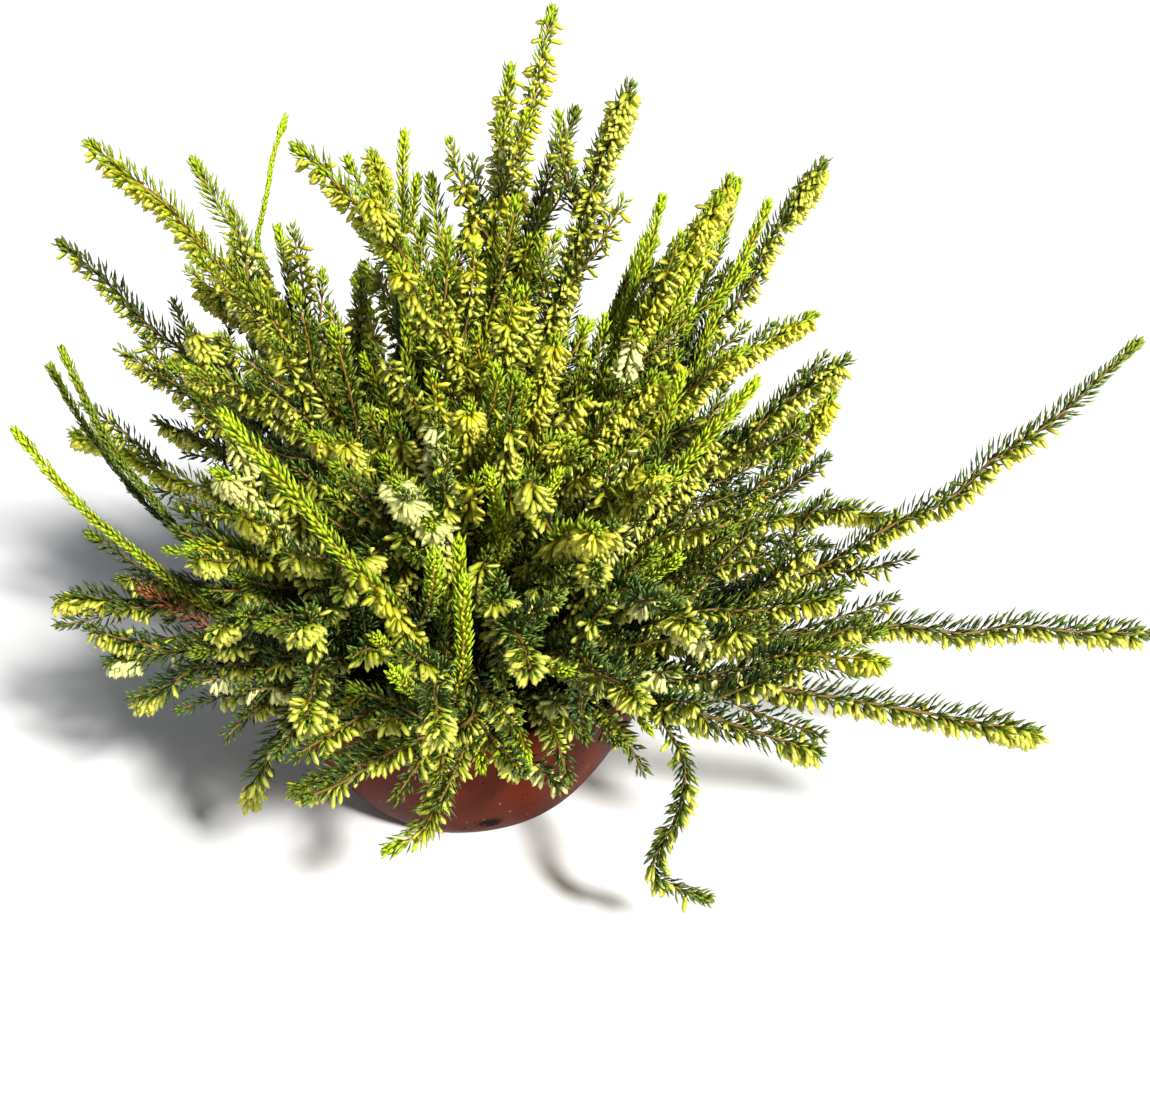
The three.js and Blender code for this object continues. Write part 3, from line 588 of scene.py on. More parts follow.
rim_radius = float(pot_outer(SOIL_TOP)) - POT_WALL - SOIL_GAP
soil_side = [(float(pot_outer(z)) - POT_WALL - SOIL_GAP, float(z) + SOIL_GAP / 2)
             for z in low_heights if POT_FLOOR < z < SOIL_TOP]
soil_top = [(rim_radius * k / SOIL_RINGS, SOIL_TOP) for k in range(SOIL_RINGS, -1, -1)]
soil_mesh = spin_profile("soil_blank", [(0, soil_side[0][1])] + soil_side + soil_top, SOIL_SIDES)
for vertex in soil_mesh.vertices:
    if vertex.co.z > SOIL_TOP - SURFACE_SLACK:
        vertex.co.z = soil_height(vertex.co.x, vertex.co.y)
soil_blank = add_object("soil_blank", soil_mesh)
print("soil surface from", round(min(soil_height(r * 0.01, 0) for r in range(9)) / MM, 2), "mm")

# %% Crumbs and dry bits
GEOMETRY, COUNT, MATERIAL, OBJECT = (
    "NodeSocketGeometry", "NodeSocketInt", "NodeSocketMaterial", "NodeSocketObject")
FULL_TURN = 6.28
STEEPEST_WITH_LITTER = 0.6
CRUMB_SCALES = (0.35, 0.35, 0.25), (1.5, 1.2, 0.8)
STRAW_SCALES = (0.3, 0.7, 0.7), (1.3, 1.3, 1.3)
STRAW_ENDS = (-0.5, 0, 0), (0.5, 0.04, 0.03)
STRAW_SIDES, STRAW_SEED_STEP = 5, 5
ANY_TURN = (0, 0, 0), (FULL_TURN, FULL_TURN, FULL_TURN)
LYING_TURN = (-0.12, -0.2, 0), (0.12, 0.2, FULL_TURN)

litter, given, result = new_tree(
    "Soil litter", "GeometryNodeTree",
    {GEOMETRY: ["Soil"], COUNT: ["Seed"], MATERIAL: ["Earth", "Straw"],
     NUMBER: ["Crumb Density", "Crumb Size", "Straw Density", "Straw Length", "Straw Radius"]},
    {GEOMETRY: ["Soil"]})


def named_value(tree, name, kind="FLOAT"):
    """Reads an attribute by its name."""
    made = add_node(tree, "GeometryNodeInputNamedAttribute", {"Name": name}, data_type=kind)
    return made.outputs["Attribute"]


def random_number(tree, low, high, seed, kind="FLOAT"):
    """Adds a Random Value node and returns its result."""
    made = add_node(tree, "FunctionNodeRandomValue", {"Seed": seed}, data_type=kind)
    lowest, highest = [socket for socket in made.inputs if socket.enabled][:2]
    fill(tree, lowest, low)
    fill(tree, highest, high)
    return next(socket for socket in made.outputs if socket.enabled)


def with_attribute(tree, geometry, name, value, domain="POINT"):
    """Writes a named number onto a geometry."""
    return add_node(tree, "GeometryNodeStoreNamedAttribute", {
        "Geometry": geometry, "Name": name, "Value": value}, domain=domain).outputs["Geometry"]


def join_and_paint(tree, geometries, materials):
    """Joins geometries, makes instances real, and paints by the number in the attribute part."""
    joined = add_node(tree, "GeometryNodeJoinGeometry")
    for geometry in geometries:
        tree.links.new(geometry, joined.inputs[0])
    painted = add_node(tree, "GeometryNodeRealizeInstances",
                       {"Geometry": joined.outputs["Geometry"]}).outputs["Geometry"]
    for number, material in enumerate(materials):
        chosen = maths(tree, "GREATER_THAN", named_value(tree, "part"), number - 0.5)
        painted = add_node(tree, "GeometryNodeSetMaterial", {
            "Geometry": painted, "Selection": chosen, "Material": material}).outputs["Geometry"]
    return painted


def scatter(tree, ground, density, element, scales, seed, turns):
    """Scatters copies of an element over the upward faces, within two scales and two turns."""
    facing = add_node(tree, "GeometryNodeInputNormal").outputs["Normal"]
    level = maths(tree, "GREATER_THAN", part_of(tree, facing, "Z"), STEEPEST_WITH_LITTER)
    spread = add_node(tree, "GeometryNodeDistributePointsOnFaces", {
        "Mesh": ground, "Selection": level, "Density": density, "Seed": seed})
    turned = add_node(tree, "FunctionNodeEulerToRotation",
                      {"Euler": random_number(tree, *turns, seed, "FLOAT_VECTOR")})
    return add_node(tree, "GeometryNodeInstanceOnPoints", {
        "Points": spread.outputs["Points"], "Instance": element,
        "Rotation": turned.outputs["Rotation"], "Scale": scales}).outputs["Instances"]


seed = given["Seed"]
crumb = add_node(litter, "GeometryNodeMeshIcoSphere",
                 {"Radius": given["Crumb Size"], "Subdivisions": 1})
crumbs = scatter(
    litter, given["Soil"], given["Crumb Density"], crumb.outputs["Mesh"],
    random_number(litter, *CRUMB_SCALES, seed, "FLOAT_VECTOR"), seed, ANY_TURN)
start, end = (vectors(litter, "SCALE", place, given["Straw Length"]) for place in STRAW_ENDS)
straw_line = add_node(litter, "GeometryNodeCurvePrimitiveLine", {"Start": start, "End": end})
straw_ring = add_node(litter, "GeometryNodeCurvePrimitiveCircle",
                      {"Resolution": STRAW_SIDES, "Radius": given["Straw Radius"]})
straw = add_node(litter, "GeometryNodeCurveToMesh", {
    "Curve": straw_line.outputs["Curve"], "Profile Curve": straw_ring.outputs["Curve"],
    "Fill Caps": True})
straws = scatter(
    litter, given["Soil"], given["Straw Density"],
    with_attribute(litter, straw.outputs["Mesh"], "part", 1.0),
    random_number(litter, *STRAW_SCALES, seed, "FLOAT_VECTOR"),
    maths(litter, "ADD", seed, STRAW_SEED_STEP), LYING_TURN)
fill(litter, result["Soil"], join_and_paint(
    litter, [straws, crumbs, given["Soil"]], [given["Earth"], given["Straw"]]))


def apply_tree(helper, tree, values):
    """Gives an object a Geometry Nodes modifier and sets its inputs by their identifiers."""
    modifier = helper.modifiers.new(tree.name, "NODES")
    modifier.node_group = tree
    for item in tree.interface.items_tree:
        if item.item_type == "SOCKET" and item.in_out == "INPUT" and item.name in values:
            modifier[item.identifier] = values[item.name]


apply_tree(soil_blank, litter, {
    "Crumb Density": 34000.0, "Crumb Size": 1.15 * MM, "Straw Density": 3600.0,
    "Straw Length": 11 * MM, "Straw Radius": 0.45 * MM, "Seed": 7,
    "Earth": moist_earth, "Straw": dry_straw})
soil = finish_piece(soil_blank, "moist_compost", ["soil"])
print("compost:", triangle_count(soil.data), "triangles,", [m.name for m in soil.data.materials])

# %% [markdown]
# ## Where every shoot runs
#
# The CAD model drew each shoot from one row: the compass bearing and lean of a straight line from
# its root, the reach of its tip, and how far the middle bows up and swings aside. The same rows
# and the same rule are repeated here, in millimetres, so that the dressed shoots lie where the
# solids lie.

# %% Rows of the shoots
BUDDED, SLIM, DARK = "budded", "slim", "dark"
STEMS = [
    ("left_slim_low", SLIM, 201, 50, 190, -15, 28),
    ("left_slim_mid", SLIM, 184, 44, 195, -24, 12),
    ("left_dark", DARK, 162, 44, 240, 10, 0),
    ("left_big", BUDDED, 172, 31, 255, 30, 10),
    ("left_rear", BUDDED, 147, 32, 243, 0, -5),
    ("left_low", BUDDED, 197, 71, 142, 20, 20),
    ("left_bottom", BUDDED, 211, 74, 124, 16, 20),
    ("arch_over", BUDDED, 180, 13, 225, 45, 15),
    ("top_green_left", SLIM, 112, 14, 226, 0, 10),
    ("top_curl", BUDDED, 106, 10, 206, 10, -5),
    ("top_left", BUDDED, 66, 11, 251, -5, 5),
    ("tallest", BUDDED, 55, 13, 276, -5, 15),
    ("top_dark", DARK, 58, 20, 242, 5, 15),
    ("top_big", BUDDED, 15, 15, 250, 5, 8),
    ("top_pair", SLIM, 25, 23, 211, -5, 0),
    ("top_right", BUDDED, 27, 30, 232, -7, 8),
    ("top_right_green", SLIM, 38, 36, 240, -20, 0),
    ("top_right_slim", SLIM, 20, 33, 228, -10, 0),
    ("right_elbow", BUDDED, 21, 36, 257, 0, 0),
    ("right_short", BUDDED, 5, 37, 170, 18, -5),
    ("right_green", SLIM, 342, 38, 170, 0, -10),
    ("right_upper", BUDDED, 0, 46, 194, 5, 0),
    ("right_upper_low", BUDDED, 13, 53, 181, -20, 0),
    ("right_long_up", BUDDED, 358, 60, 288, -20, -15),
    ("right_mid", BUDDED, 8, 73, 175, 25, 3),
    ("right_rosette", BUDDED, 342, 70, 140, 12, -18),
    ("right_long_flat", BUDDED, 352, 84, 256, 20, -28),
    ("right_long_low", BUDDED, 336, 86, 208, 20, -30),
    ("right_low_short", BUDDED, 322, 85, 140, 14, -18),
    ("front_hook", DARK, 305, 104, 128, 48, 8),
    ("front_hang", BUDDED, 269, 100, 96, 34, 4),
    ("front_lying", BUDDED, 250, 83, 108, 16, 40),
    ("left_down", DARK, 229, 106, 84, 34, 10),
    ("front_big_lime", SLIM, 244, 39, 192, -26, 45),
    ("front_low_left", BUDDED, 255, 68, 129, 16, -18),
    ("front_low_mid", BUDDED, 272, 68, 142, 22, -3),
    ("front_middle", BUDDED, 283, 61, 146, 26, 0),
    ("front_right", BUDDED, 305, 60, 148, 22, 6),
    ("front_right_low", BUDDED, 296, 67, 142, 14, 0),
    ("front_pale_high", BUDDED, 264, 37, 150, 15, 0),
    ("front_high_right", BUDDED, 294, 47, 160, 15, 0),
    ("upper_front", BUDDED, 279, 24, 150, 10, 0),
    ("upper_middle", BUDDED, 330, 15, 155, 6, 4),
    ("upper_right_front", BUDDED, 312, 40, 153, 6, 5),
    ("left_front_upper", BUDDED, 229, 40, 152, 5, 4),
]
FORKS = [
    ("left_slim_inner", SLIM, "left_slim_mid", 0.45, 160, 43, 112, -5, 5),
    ("left_rear_slim", SLIM, "left_rear", 0.55, 105, 25, 120, 5, 5),
    ("left_bottom_dark", BUDDED, "left_bottom", 0.4, 190, 105, 72, 8, 5),
    ("left_side", BUDDED, "left_big", 0.3, 205, 50, 95, 5, 0),
    ("top_pair_second", SLIM, "top_pair", 0.55, 10, 35, 95, -5, 0),
    ("right_low_side", BUDDED, "right_long_low", 0.45, 345, 75, 62, 6, 5),
    ("front_lime", SLIM, "front_hang", 0.6, 290, 25, 80, -6, 0),
    ("front_left", BUDDED, "front_low_left", 0.35, 262, 58, 82, 12, 0),
    ("front_left_side", BUDDED, "left_bottom", 0.3, 245, 60, 80, 12, 0),
    ("front_left_up", BUDDED, "front_pale_high", 0.35, 255, 62, 92, 12, 0),
    ("front_right_mid", BUDDED, "front_right", 0.3, 285, 55, 92, 10, 0),
    ("front_pale_mid", BUDDED, "front_pale_high", 0.45, 275, 58, 85, 8, 0),
    ("front_lime_pair", SLIM, "front_middle", 0.35, 278, 28, 85, 0, 5),
    ("upper_front_right", BUDDED, "upper_front", 0.35, 315, 42, 95, 8, 0),
    ("upper_front_left", BUDDED, "upper_front", 0.25, 215, 38, 105, 6, 0),
    ("upper_right_middle", BUDDED, "upper_middle", 0.3, 350, 40, 110, 6, 0),
    ("left_middle", BUDDED, "left_front_upper", 0.35, 222, 60, 90, 5, 0),
]
print(len(STEMS), "named stems and", len(FORKS), "named forks")

# %% Straight, bowed and swung routes
STEM_STEPS = 20
REAR_COUNT, REAR_MIDDLE, REAR_SPREAD, GOLDEN = 13, 92, 160, 0.618034
REAR_LEANS, REAR_REACHES, REAR_BOWS = (24, 84), (235, 145), (6, 26)
REAR_REACH_VARIES, REAR_SWING, REAR_SLIM_EVERY, REAR_SEED = 30, 14, 5, 4711
REAR_FORKED_PAST, REAR_FORK_AT, REAR_FORK_TURN = 40, 0.4, 34
REAR_FORK_LEAN, REAR_FORK_SHARE = 14, 0.58
LEADER_GIVE = 0.35
RANDOM_STEP, RANDOM_PRIME = 48271, 2147483647
SOIL_LEVEL, CROWN = SOIL_TOP / MM, CROWN_RADIUS / MM
LEVEL_LEAN, ROOT_SPREAD = 90, 0.8


def between(ends, share):
    """A value part of the way from one number to another."""
    return ends[0] + (ends[1] - ends[0]) * share


def directions(bearing, lean):
    """Unit vectors along a shoot, to its side, and up from it."""
    b, l = math.radians(bearing), math.radians(lean)
    along = np.array([math.sin(l) * math.cos(b), math.sin(l) * math.sin(b), math.cos(l)])
    side = np.array([-math.sin(b), math.cos(b), 0.0])
    return along, side, np.cross(along, side)


def route_of(root, bearing, lean, reach, bow, swing):
    """A line from a root that arches up by the bow and aside by the swing."""
    along, side, lift = directions(bearing, lean)
    t = np.linspace(0, 1, STEM_STEPS + 1)[:, None]
    arch = 4 * t * (1 - t)
    return root + along * reach * t + lift * bow * arch + side * swing * arch


def root_of(bearing, lean):
    """Where a shoot leaves the soil: the more it leans, the further out in the crown."""
    out = CROWN * (min(lean, LEVEL_LEAN) / LEVEL_LEAN) ** ROOT_SPREAD
    b = math.radians(bearing)
    return np.array([out * math.cos(b), out * math.sin(b), SOIL_LEVEL])


def park_miller(seed):
    """A repeatable run of random numbers from 0 to 1."""
    while True:
        seed = (seed * RANDOM_STEP) % RANDOM_PRIME
        yield seed / RANDOM_PRIME


shoots = []


def add_stem(name, kind, bearing, lean, reach, bow, swing, give):
    shoots.append(dict(name=name, kind=kind, stem=name, parent=None, at=0, give=give, lean=lean,
                       points=route_of(root_of(bearing, lean), bearing, lean, reach, bow, swing)))


def add_fork(name, kind, parent_name, start, bearing, lean, reach, bow, swing, give):
    parent = next(i for i, shoot in enumerate(shoots) if shoot["name"] == parent_name)
    at = int(start * STEM_STEPS + 0.5)
    points = route_of(shoots[parent]["points"][at], bearing, lean, reach, bow, swing)
    shoots.append(dict(name=name, kind=kind, stem=shoots[parent]["stem"], parent=parent, at=at,
                       give=give, lean=lean, points=points))


for row in STEMS:
    add_stem(*row, LEADER_GIVE)
for row in FORKS:
    add_fork(*row, LEADER_GIVE)
draw = park_miller(REAR_SEED)
for i in range(REAR_COUNT):
    down = (i + 0.5) / REAR_COUNT
    bearing = REAR_MIDDLE + REAR_SPREAD * ((i * GOLDEN) % 1 - 0.5)
    lean, reach, bow = (between(ends, down) for ends in (REAR_LEANS, REAR_REACHES, REAR_BOWS))
    reach += REAR_REACH_VARIES * (next(draw) - 0.5)
    rear_swing = REAR_SWING * (2 * next(draw) - 1)
    name, kind = f"rear_{i + 1}", SLIM if i % REAR_SLIM_EVERY == 2 else BUDDED
    add_stem(name, kind, bearing, lean, reach, bow, rear_swing, 1)
    if lean >= REAR_FORKED_PAST:
        turn = REAR_FORK_TURN * (1 if i % 2 else -1)
        add_fork(name + "_fork", BUDDED, name, REAR_FORK_AT, bearing + turn,
                 max(lean - REAR_FORK_LEAN, REAR_FORK_LEAN), reach * REAR_FORK_SHARE, bow / 2, 0, 1)
print(len(shoots), "shoots on", sum(s["parent"] is None for s in shoots), "stems")

# %% [markdown]
# ## Bending shoots clear of each other
#
# Where two shoots would meet, each gives way a little, and this is repeated seventy times. Shoots
# also keep off the rim of the pot and off the ground. All points of all shoots sit in one array,
# so NumPy handles each round at once.

# %% Relaxation
BEND_PASSES, SHOOT_CLEARANCE, ROOT_CLEARANCE, CLEARANCE_GROWTH = 70, 10, 6.5, 0.9
FORK_CLEARANCE, FORK_GROWTH, PUSH_SHARE = 4.2, 0.7, 0.5
RIM_CLEARANCE, FLOOR_CLEARANCE = 9, 14
WATCHED_DISTANCE, LEAST_DISTANCE, SMOOTHING_ROUNDS = 60, 0.01, 2


def outer_at(z):
    return pot_outer(np.asarray(z) * MM) / MM


def pairs_to_watch(points):
    """Point pairs of different shoots that could come near, with the room each pair needs."""
    count = STEM_STEPS + 1
    firsts, seconds, needs, shares = [], [], [], []
    step = np.arange(count)
    for i, a in enumerate(shoots):
        for j in range(i + 1, len(shoots)):
            b = shoots[j]
            if b["parent"] == i:
                continue
            if a["parent"] is not None and a["parent"] == b["parent"]:
                need = FORK_GROWTH * np.minimum(step[:, None], step[None, :])
            else:
                need = ROOT_CLEARANCE + CLEARANCE_GROWTH * np.minimum(
                    step[:, None] + a["at"], step[None, :] + b["at"])
            gap = np.linalg.norm(points[i][:, None] - points[j][None], axis=2)
            k, m = np.nonzero(gap < WATCHED_DISTANCE)
            firsts.append(i * count + k)
            seconds.append(j * count + m)
            needs.append(np.minimum(SHOOT_CLEARANCE, need)[k, m])
            shares.append(np.full(len(k), a["give"] / (a["give"] + b["give"])))
    return [np.concatenate(part) for part in (firsts, seconds, needs, shares)]


def push_apart(flat, pushes, firsts, seconds, needs, shares):
    """Moves the points of every pair that is too close away from each other."""
    apart = flat[firsts] - flat[seconds]
    distance = np.sqrt((apart ** 2).sum(axis=1))
    close = distance < needs
    lacking = needs[close] - distance[close]
    shift = PUSH_SHARE * lacking / np.maximum(distance[close], LEAST_DISTANCE)
    moved = apart[close] * shift[:, None]
    np.add.at(pushes, firsts[close], moved * shares[close, None])
    np.add.at(pushes, seconds[close], -moved * (1 - shares[close, None]))


def keep_off_pot(points, pushes, clearance=RIM_CLEARANCE):
    """Pushes points off the pot's wall, over its rim or outwards, and up from the ground."""
    radius = np.hypot(points[:, 0], points[:, 1])
    outside = outer_at(points[:, 2]) + clearance
    rim = POT_HEIGHT / MM + clearance
    inner = outer_at(SOIL_LEVEL) - POT_WALL / MM - clearance
    caught = (points[:, 2] < rim) & (radius > inner) & (radius < outside)
    upwards = caught & (rim - points[:, 2] < outside - radius)
    outwards = caught & ~upwards
    pushes[upwards, 2] += PUSH_SHARE * (rim - points[upwards, 2])
    away = PUSH_SHARE * (outside - radius) / np.maximum(radius, 1)
    pushes[outwards, :2] += away[outwards, None] * points[outwards, :2]
    pushes[:, 2] += np.maximum(FLOOR_CLEARANCE - points[:, 2], 0)


def keep_off_parent(points, pushes, parent):
    """Turns a fork away from its parent quickly enough to leave room for its foot."""
    start, end = parent[:-1], parent[1:]
    edge = end - start
    for k in range(1, STEM_STEPS + 1):
        p = points[k]
        t = np.clip(((p - start) * edge).sum(1) / (edge ** 2).sum(1), 0, 1)
        away = p - (start + t[:, None] * edge)
        nearest = away[(away ** 2).sum(1).argmin()]
        distance = max(float(np.linalg.norm(nearest)), LEAST_DISTANCE)
        need = min(SHOOT_CLEARANCE, FORK_CLEARANCE + FORK_GROWTH * (k - 1))
        if distance < need:
            pushes[k] += nearest * (need - distance) / distance


def bend_clear():
    """Bends all the shoots until none is in another's way."""
    points = np.stack([shoot["points"] for shoot in shoots])
    watched = pairs_to_watch(points)
    for _ in range(BEND_PASSES):
        pushes = np.zeros_like(points)
        push_apart(points.reshape(-1, 3), pushes.reshape(-1, 3), *watched)
        for i, shoot in enumerate(shoots):
            keep_off_pot(points[i], pushes[i])
        for i, shoot in enumerate(shoots):
            if shoot["parent"] is not None:
                keep_off_parent(points[i], pushes[i], points[shoot["parent"]])
        for _ in range(SMOOTHING_ROUNDS):
            ends = np.concatenate([pushes[:, :1], pushes, pushes[:, -1:]], axis=1)
            pushes = 0.25 * ends[:, :-2] + 0.5 * pushes + 0.25 * ends[:, 2:]
        for i, shoot in enumerate(shoots):
            if shoot["parent"] is None:
                pushes[i, 0, 2] = 0
            else:
                pushes[i, 0] = points[shoot["parent"], shoot["at"]] - points[i, 0]
            points[i] += pushes[i]
    for shoot, route in zip(shoots, points):
        shoot["points"] = route


bend_clear()
all_points = np.concatenate([shoot["points"] for shoot in shoots])
print("routes span", all_points.min(axis=0).round(1), "to", all_points.max(axis=0).round(1), "mm")

# %% [markdown]
# ## Waves and curls
#
# A living shoot is never a plain arc. Each one that ends above the rim gets two small waves, one
# across the other, that leave its root and its tip in place. Three shoots also get their own curl:
# a row gives the share of the length, and how far the shoot moves aside and up there.

# %% Waves and curls
UPWARDS = np.array([0.0, 0.0, 1.0])
RIM_LEVEL = 86
WAVE_HEIGHTS, WAVE_LENGTHS = {BUDDED: 1.5, DARK: 1.5, SLIM: 0.7}, (43, 61)
WAVE_RISE, WAVE_DELAY, WAVE_FALL = 3, 0.6, 4
PLANT_SEED, SIDEWAYS_SLACK, LEAST_LENGTH = 20, 0.01, 1e-9
CURLS = {
    "front_hook": ((0.62, 0, 0), (0.74, 4, -2), (0.81, 0, -7), (0.86, -6, -9), (0.91, -14, -8),
                   (0.95, -14, -8), (1.0, 4, -4)),
    "front_hang": ((0.84, 0, 0), (0.9, -2, -1), (0.95, -7, 0), (1.0, -16, 4)),
    "left_rear_slim": ((0.05, 0, 0), (0.25, -9, 0), (0.5, -13, 0), (0.75, -7, 0), (1.0, 0, 0))}
rng = np.random.default_rng(PLANT_SEED)


def unit(vector):
    return vector / max(np.linalg.norm(vector), LEAST_LENGTH)


def crossways(heading):
    """Two directions that are square to a heading and to each other."""
    across = unit(np.cross(heading, UPWARDS + SIDEWAYS_SLACK))
    return across, np.cross(heading, across)


def travel(points):
    """How far along its line each point lies."""
    return np.concatenate([[0], np.cumsum(np.linalg.norm(np.diff(points, axis=0), axis=1))])


def waved(points, height):
    """Gives a shoot its two small waves."""
    travelled = travel(points)
    share = travelled / travelled[-1]
    rising = np.clip(WAVE_RISE * share - WAVE_DELAY, 0, 1)
    swell = height * rising * np.clip(WAVE_FALL * (1 - share), 0, 1)
    for aside, length in zip(crossways(unit(points[-1] - points[0])), WAVE_LENGTHS):
        wave = swell * np.sin(FULL_TURN * travelled / length + rng.uniform(0, FULL_TURN))
        points = points + wave[:, None] * aside
    return points


for shoot in shoots:
    if shoot["points"][-1, 2] > RIM_LEVEL:
        shoot["points"] = waved(shoot["points"], WAVE_HEIGHTS[shoot["kind"]])
    if shoot["name"] in CURLS:
        at, aside, up = zip(*CURLS[shoot["name"]])
        share = np.linspace(0, 1, STEM_STEPS + 1)
        shoot["points"] = shoot["points"] + np.stack(
            [np.interp(share, at, aside), 0 * share, np.interp(share, at, up)], axis=1)
print("waves of up to", max(WAVE_HEIGHTS.values()), "mm, curls on", list(CURLS))

# %% [markdown]
# ## Side twigs and inner shoots
#
# A real heath is much denser than its main shoots. Short side twigs leave them inside the dome of
# foliage, shorter shoots from the crown fill the middle, and a skirt of low ones leans over the
# front of the rim. All follow rules: golden-angle turns spread them, and a fixed seed varies them.
# Shoots that hang down bear no twigs, and neither do the slim clean ones at the left.

# %% Side twigs
DOME_MIDDLE, DOME_RADII = np.array([0.0, 0.0, 75.0]), np.array([160.0, 140.0, 195.0])
TWIG_SPACING, TWIG_FROM, TWIG_TO, TWIG_TURN = 14, 0.12, 0.86, 2.4
TWIG_LENGTHS, TWIG_VARIES, TWIG_SHARE_LEFT, TWIG_SHORTEST = (66, 30), (0.7, 1.15), 0.7, 12
TWIG_LEAVES, TWIG_ENDS, TWIG_SWING, TWIG_POINTS = (44, 0.0), (20, 0.22), 3.5, 5
TWIG_KNEE, TWIG_REST, TWIG_STRAYS = 0.45, 0.6, (0.2, 0.8)
TWIG_BUDDED_SHARE, PALE_SHARE, PALE_DEGREES = 0.8, 0.1, (0.3, 0.7)
HANGING_LEAN = 95
DRY_TWIG_TIP, DRYNESS = np.array([-117, -70, 139]), 0.9
CLEAN_SHOOTS = ("left_slim_low", "left_slim_mid", "left_slim_inner")
SMALL_CLEARANCE, SMALL_DIP, SMALL_OVER_SOIL, SETTLE_PASSES = 6, 6, 5, 8


def settle_line(points):
    """Keeps a small shoot off the pot, the soil and the ground, and from hanging over the rim."""
    lowest = min(points[0, 2] - SMALL_DIP, RIM_LEVEL)
    for _ in range(SETTLE_PASSES):
        pushes = np.zeros_like(points)
        keep_off_pot(points, pushes, clearance=SMALL_CLEARANCE)
        pushes[0] = 0
        points += pushes
        over_soil = np.hypot(points[:, 0], points[:, 1]) < outer_at(SOIL_LEVEL)
        floor_here = np.where(over_soil, SOIL_LEVEL + SMALL_OVER_SOIL, lowest)
        low = points[:, 2] < floor_here
        low[0] = False
        points[low, 2] += PUSH_SHARE * (floor_here - points[:, 2])[low]
    return points


def side_twig(start, heading, turn, length):
    """A twig that leaves its shoot widely and then bends along it and upwards."""
    across, upright = crossways(heading)
    around = across * math.cos(turn) + upright * math.sin(turn)
    leave, end = (unit(heading * math.cos(math.radians(angle))
                       + around * math.sin(math.radians(angle)) + UPWARDS * rise)
                  for angle, rise in (TWIG_LEAVES, TWIG_ENDS))
    middle = start + leave * TWIG_KNEE * length + rng.uniform(-TWIG_SWING, TWIG_SWING, 3)
    tip = middle + end * TWIG_REST * length
    t = np.linspace(0, 1, TWIG_POINTS)[:, None]
    return settle_line((1 - t) ** 2 * start + 2 * t * (1 - t) * middle + t ** 2 * tip)


def twigs_of(shoot):
    """The side twigs of one shoot, of which only those inside the dome are kept."""
    points, slim = shoot["points"], shoot["kind"] == SLIM
    total = travel(points)[-1]
    grown = []
    count = int(total * (TWIG_TO - TWIG_FROM) / TWIG_SPACING)
    turn = rng.uniform(0, FULL_TURN)
    for i in range(count):
        share = between((TWIG_FROM, TWIG_TO), (i + rng.uniform(*TWIG_STRAYS)) / count)
        turn += TWIG_TURN
        k = min(int(share * STEM_STEPS), STEM_STEPS - 1)
        step = points[k + 1] - points[k]
        start = points[k] + step * (share * STEM_STEPS - k)
        length = min(between(TWIG_LENGTHS, share) * rng.uniform(*TWIG_VARIES),
                     TWIG_SHARE_LEFT * total * (1 - share) + TWIG_SHORTEST)
        in_dome = np.linalg.norm((start - DOME_MIDDLE) / DOME_RADII) < 1
        if not in_dome or (slim and i % 2) or shoot["lean"] > HANGING_LEAN:
            continue
        grown.append(dict(
            points=side_twig(start, unit(step), turn, length),
            in_bud=rng.random() < TWIG_BUDDED_SHARE, dry=0.0,
            pale=float(rng.random() < PALE_SHARE) * rng.uniform(*PALE_DEGREES)))
    return grown


twigs = {shoot["name"]: twigs_of(shoot) for shoot in shoots}
dried = min((twig for grown in twigs.values() for twig in grown),
            key=lambda twig: np.linalg.norm(twig["points"][-1] - DRY_TWIG_TIP))
dried.update(dry=DRYNESS, in_bud=False)
for name in CLEAN_SHOOTS:
    twigs[name] = []
print(sum(len(grown) for grown in twigs.values()), "side twigs")

# %% Inner shoots
INNER_COUNT, INNER_LEANS, INNER_REACHES, INNER_LOWERING = 78, (6, 86), (150, 96), 0.65
INNER_REACH_VARIES, INNER_BOWS, INNER_SWINGS = (0.85, 1.1), (4, 16), (-12, 12)
SKIRT_COUNT, SKIRT_BEARINGS, SKIRT_LEANS = 14, (226, 322), (78, 90)
SKIRT_REACHES, SKIRT_BOW, SKIRT_SWINGS = (66, 94), 12, (-10, 10)
INNER_SLIM_EVERY, SKIRT_SLIM_EVERY = 7, 5
inner = []


def add_inner(kind, bearing, lean, reach, bow, swing):
    route = route_of(root_of(bearing, lean), bearing, lean, reach, bow, swing)
    inner.append(dict(kind=kind, bearing=bearing, points=settle_line(route[::2])))


for i in range(INNER_COUNT):
    down = (i + 0.5) / INNER_COUNT
    add_inner(SLIM if i % INNER_SLIM_EVERY == 3 else BUDDED, 360 * ((i * GOLDEN) % 1),
              between(INNER_LEANS, down ** INNER_LOWERING),
              between(INNER_REACHES, down) * rng.uniform(*INNER_REACH_VARIES),
              rng.uniform(*INNER_BOWS), rng.uniform(*INNER_SWINGS))
for i in range(SKIRT_COUNT):
    add_inner(SLIM if i % SKIRT_SLIM_EVERY == 2 else BUDDED,
              between(SKIRT_BEARINGS, (i + 0.5) / SKIRT_COUNT),
              between(SKIRT_LEANS, (i * GOLDEN) % 1), rng.uniform(*SKIRT_REACHES),
              SKIRT_BOW, rng.uniform(*SKIRT_SWINGS))
print(len(inner), "inner shoots")

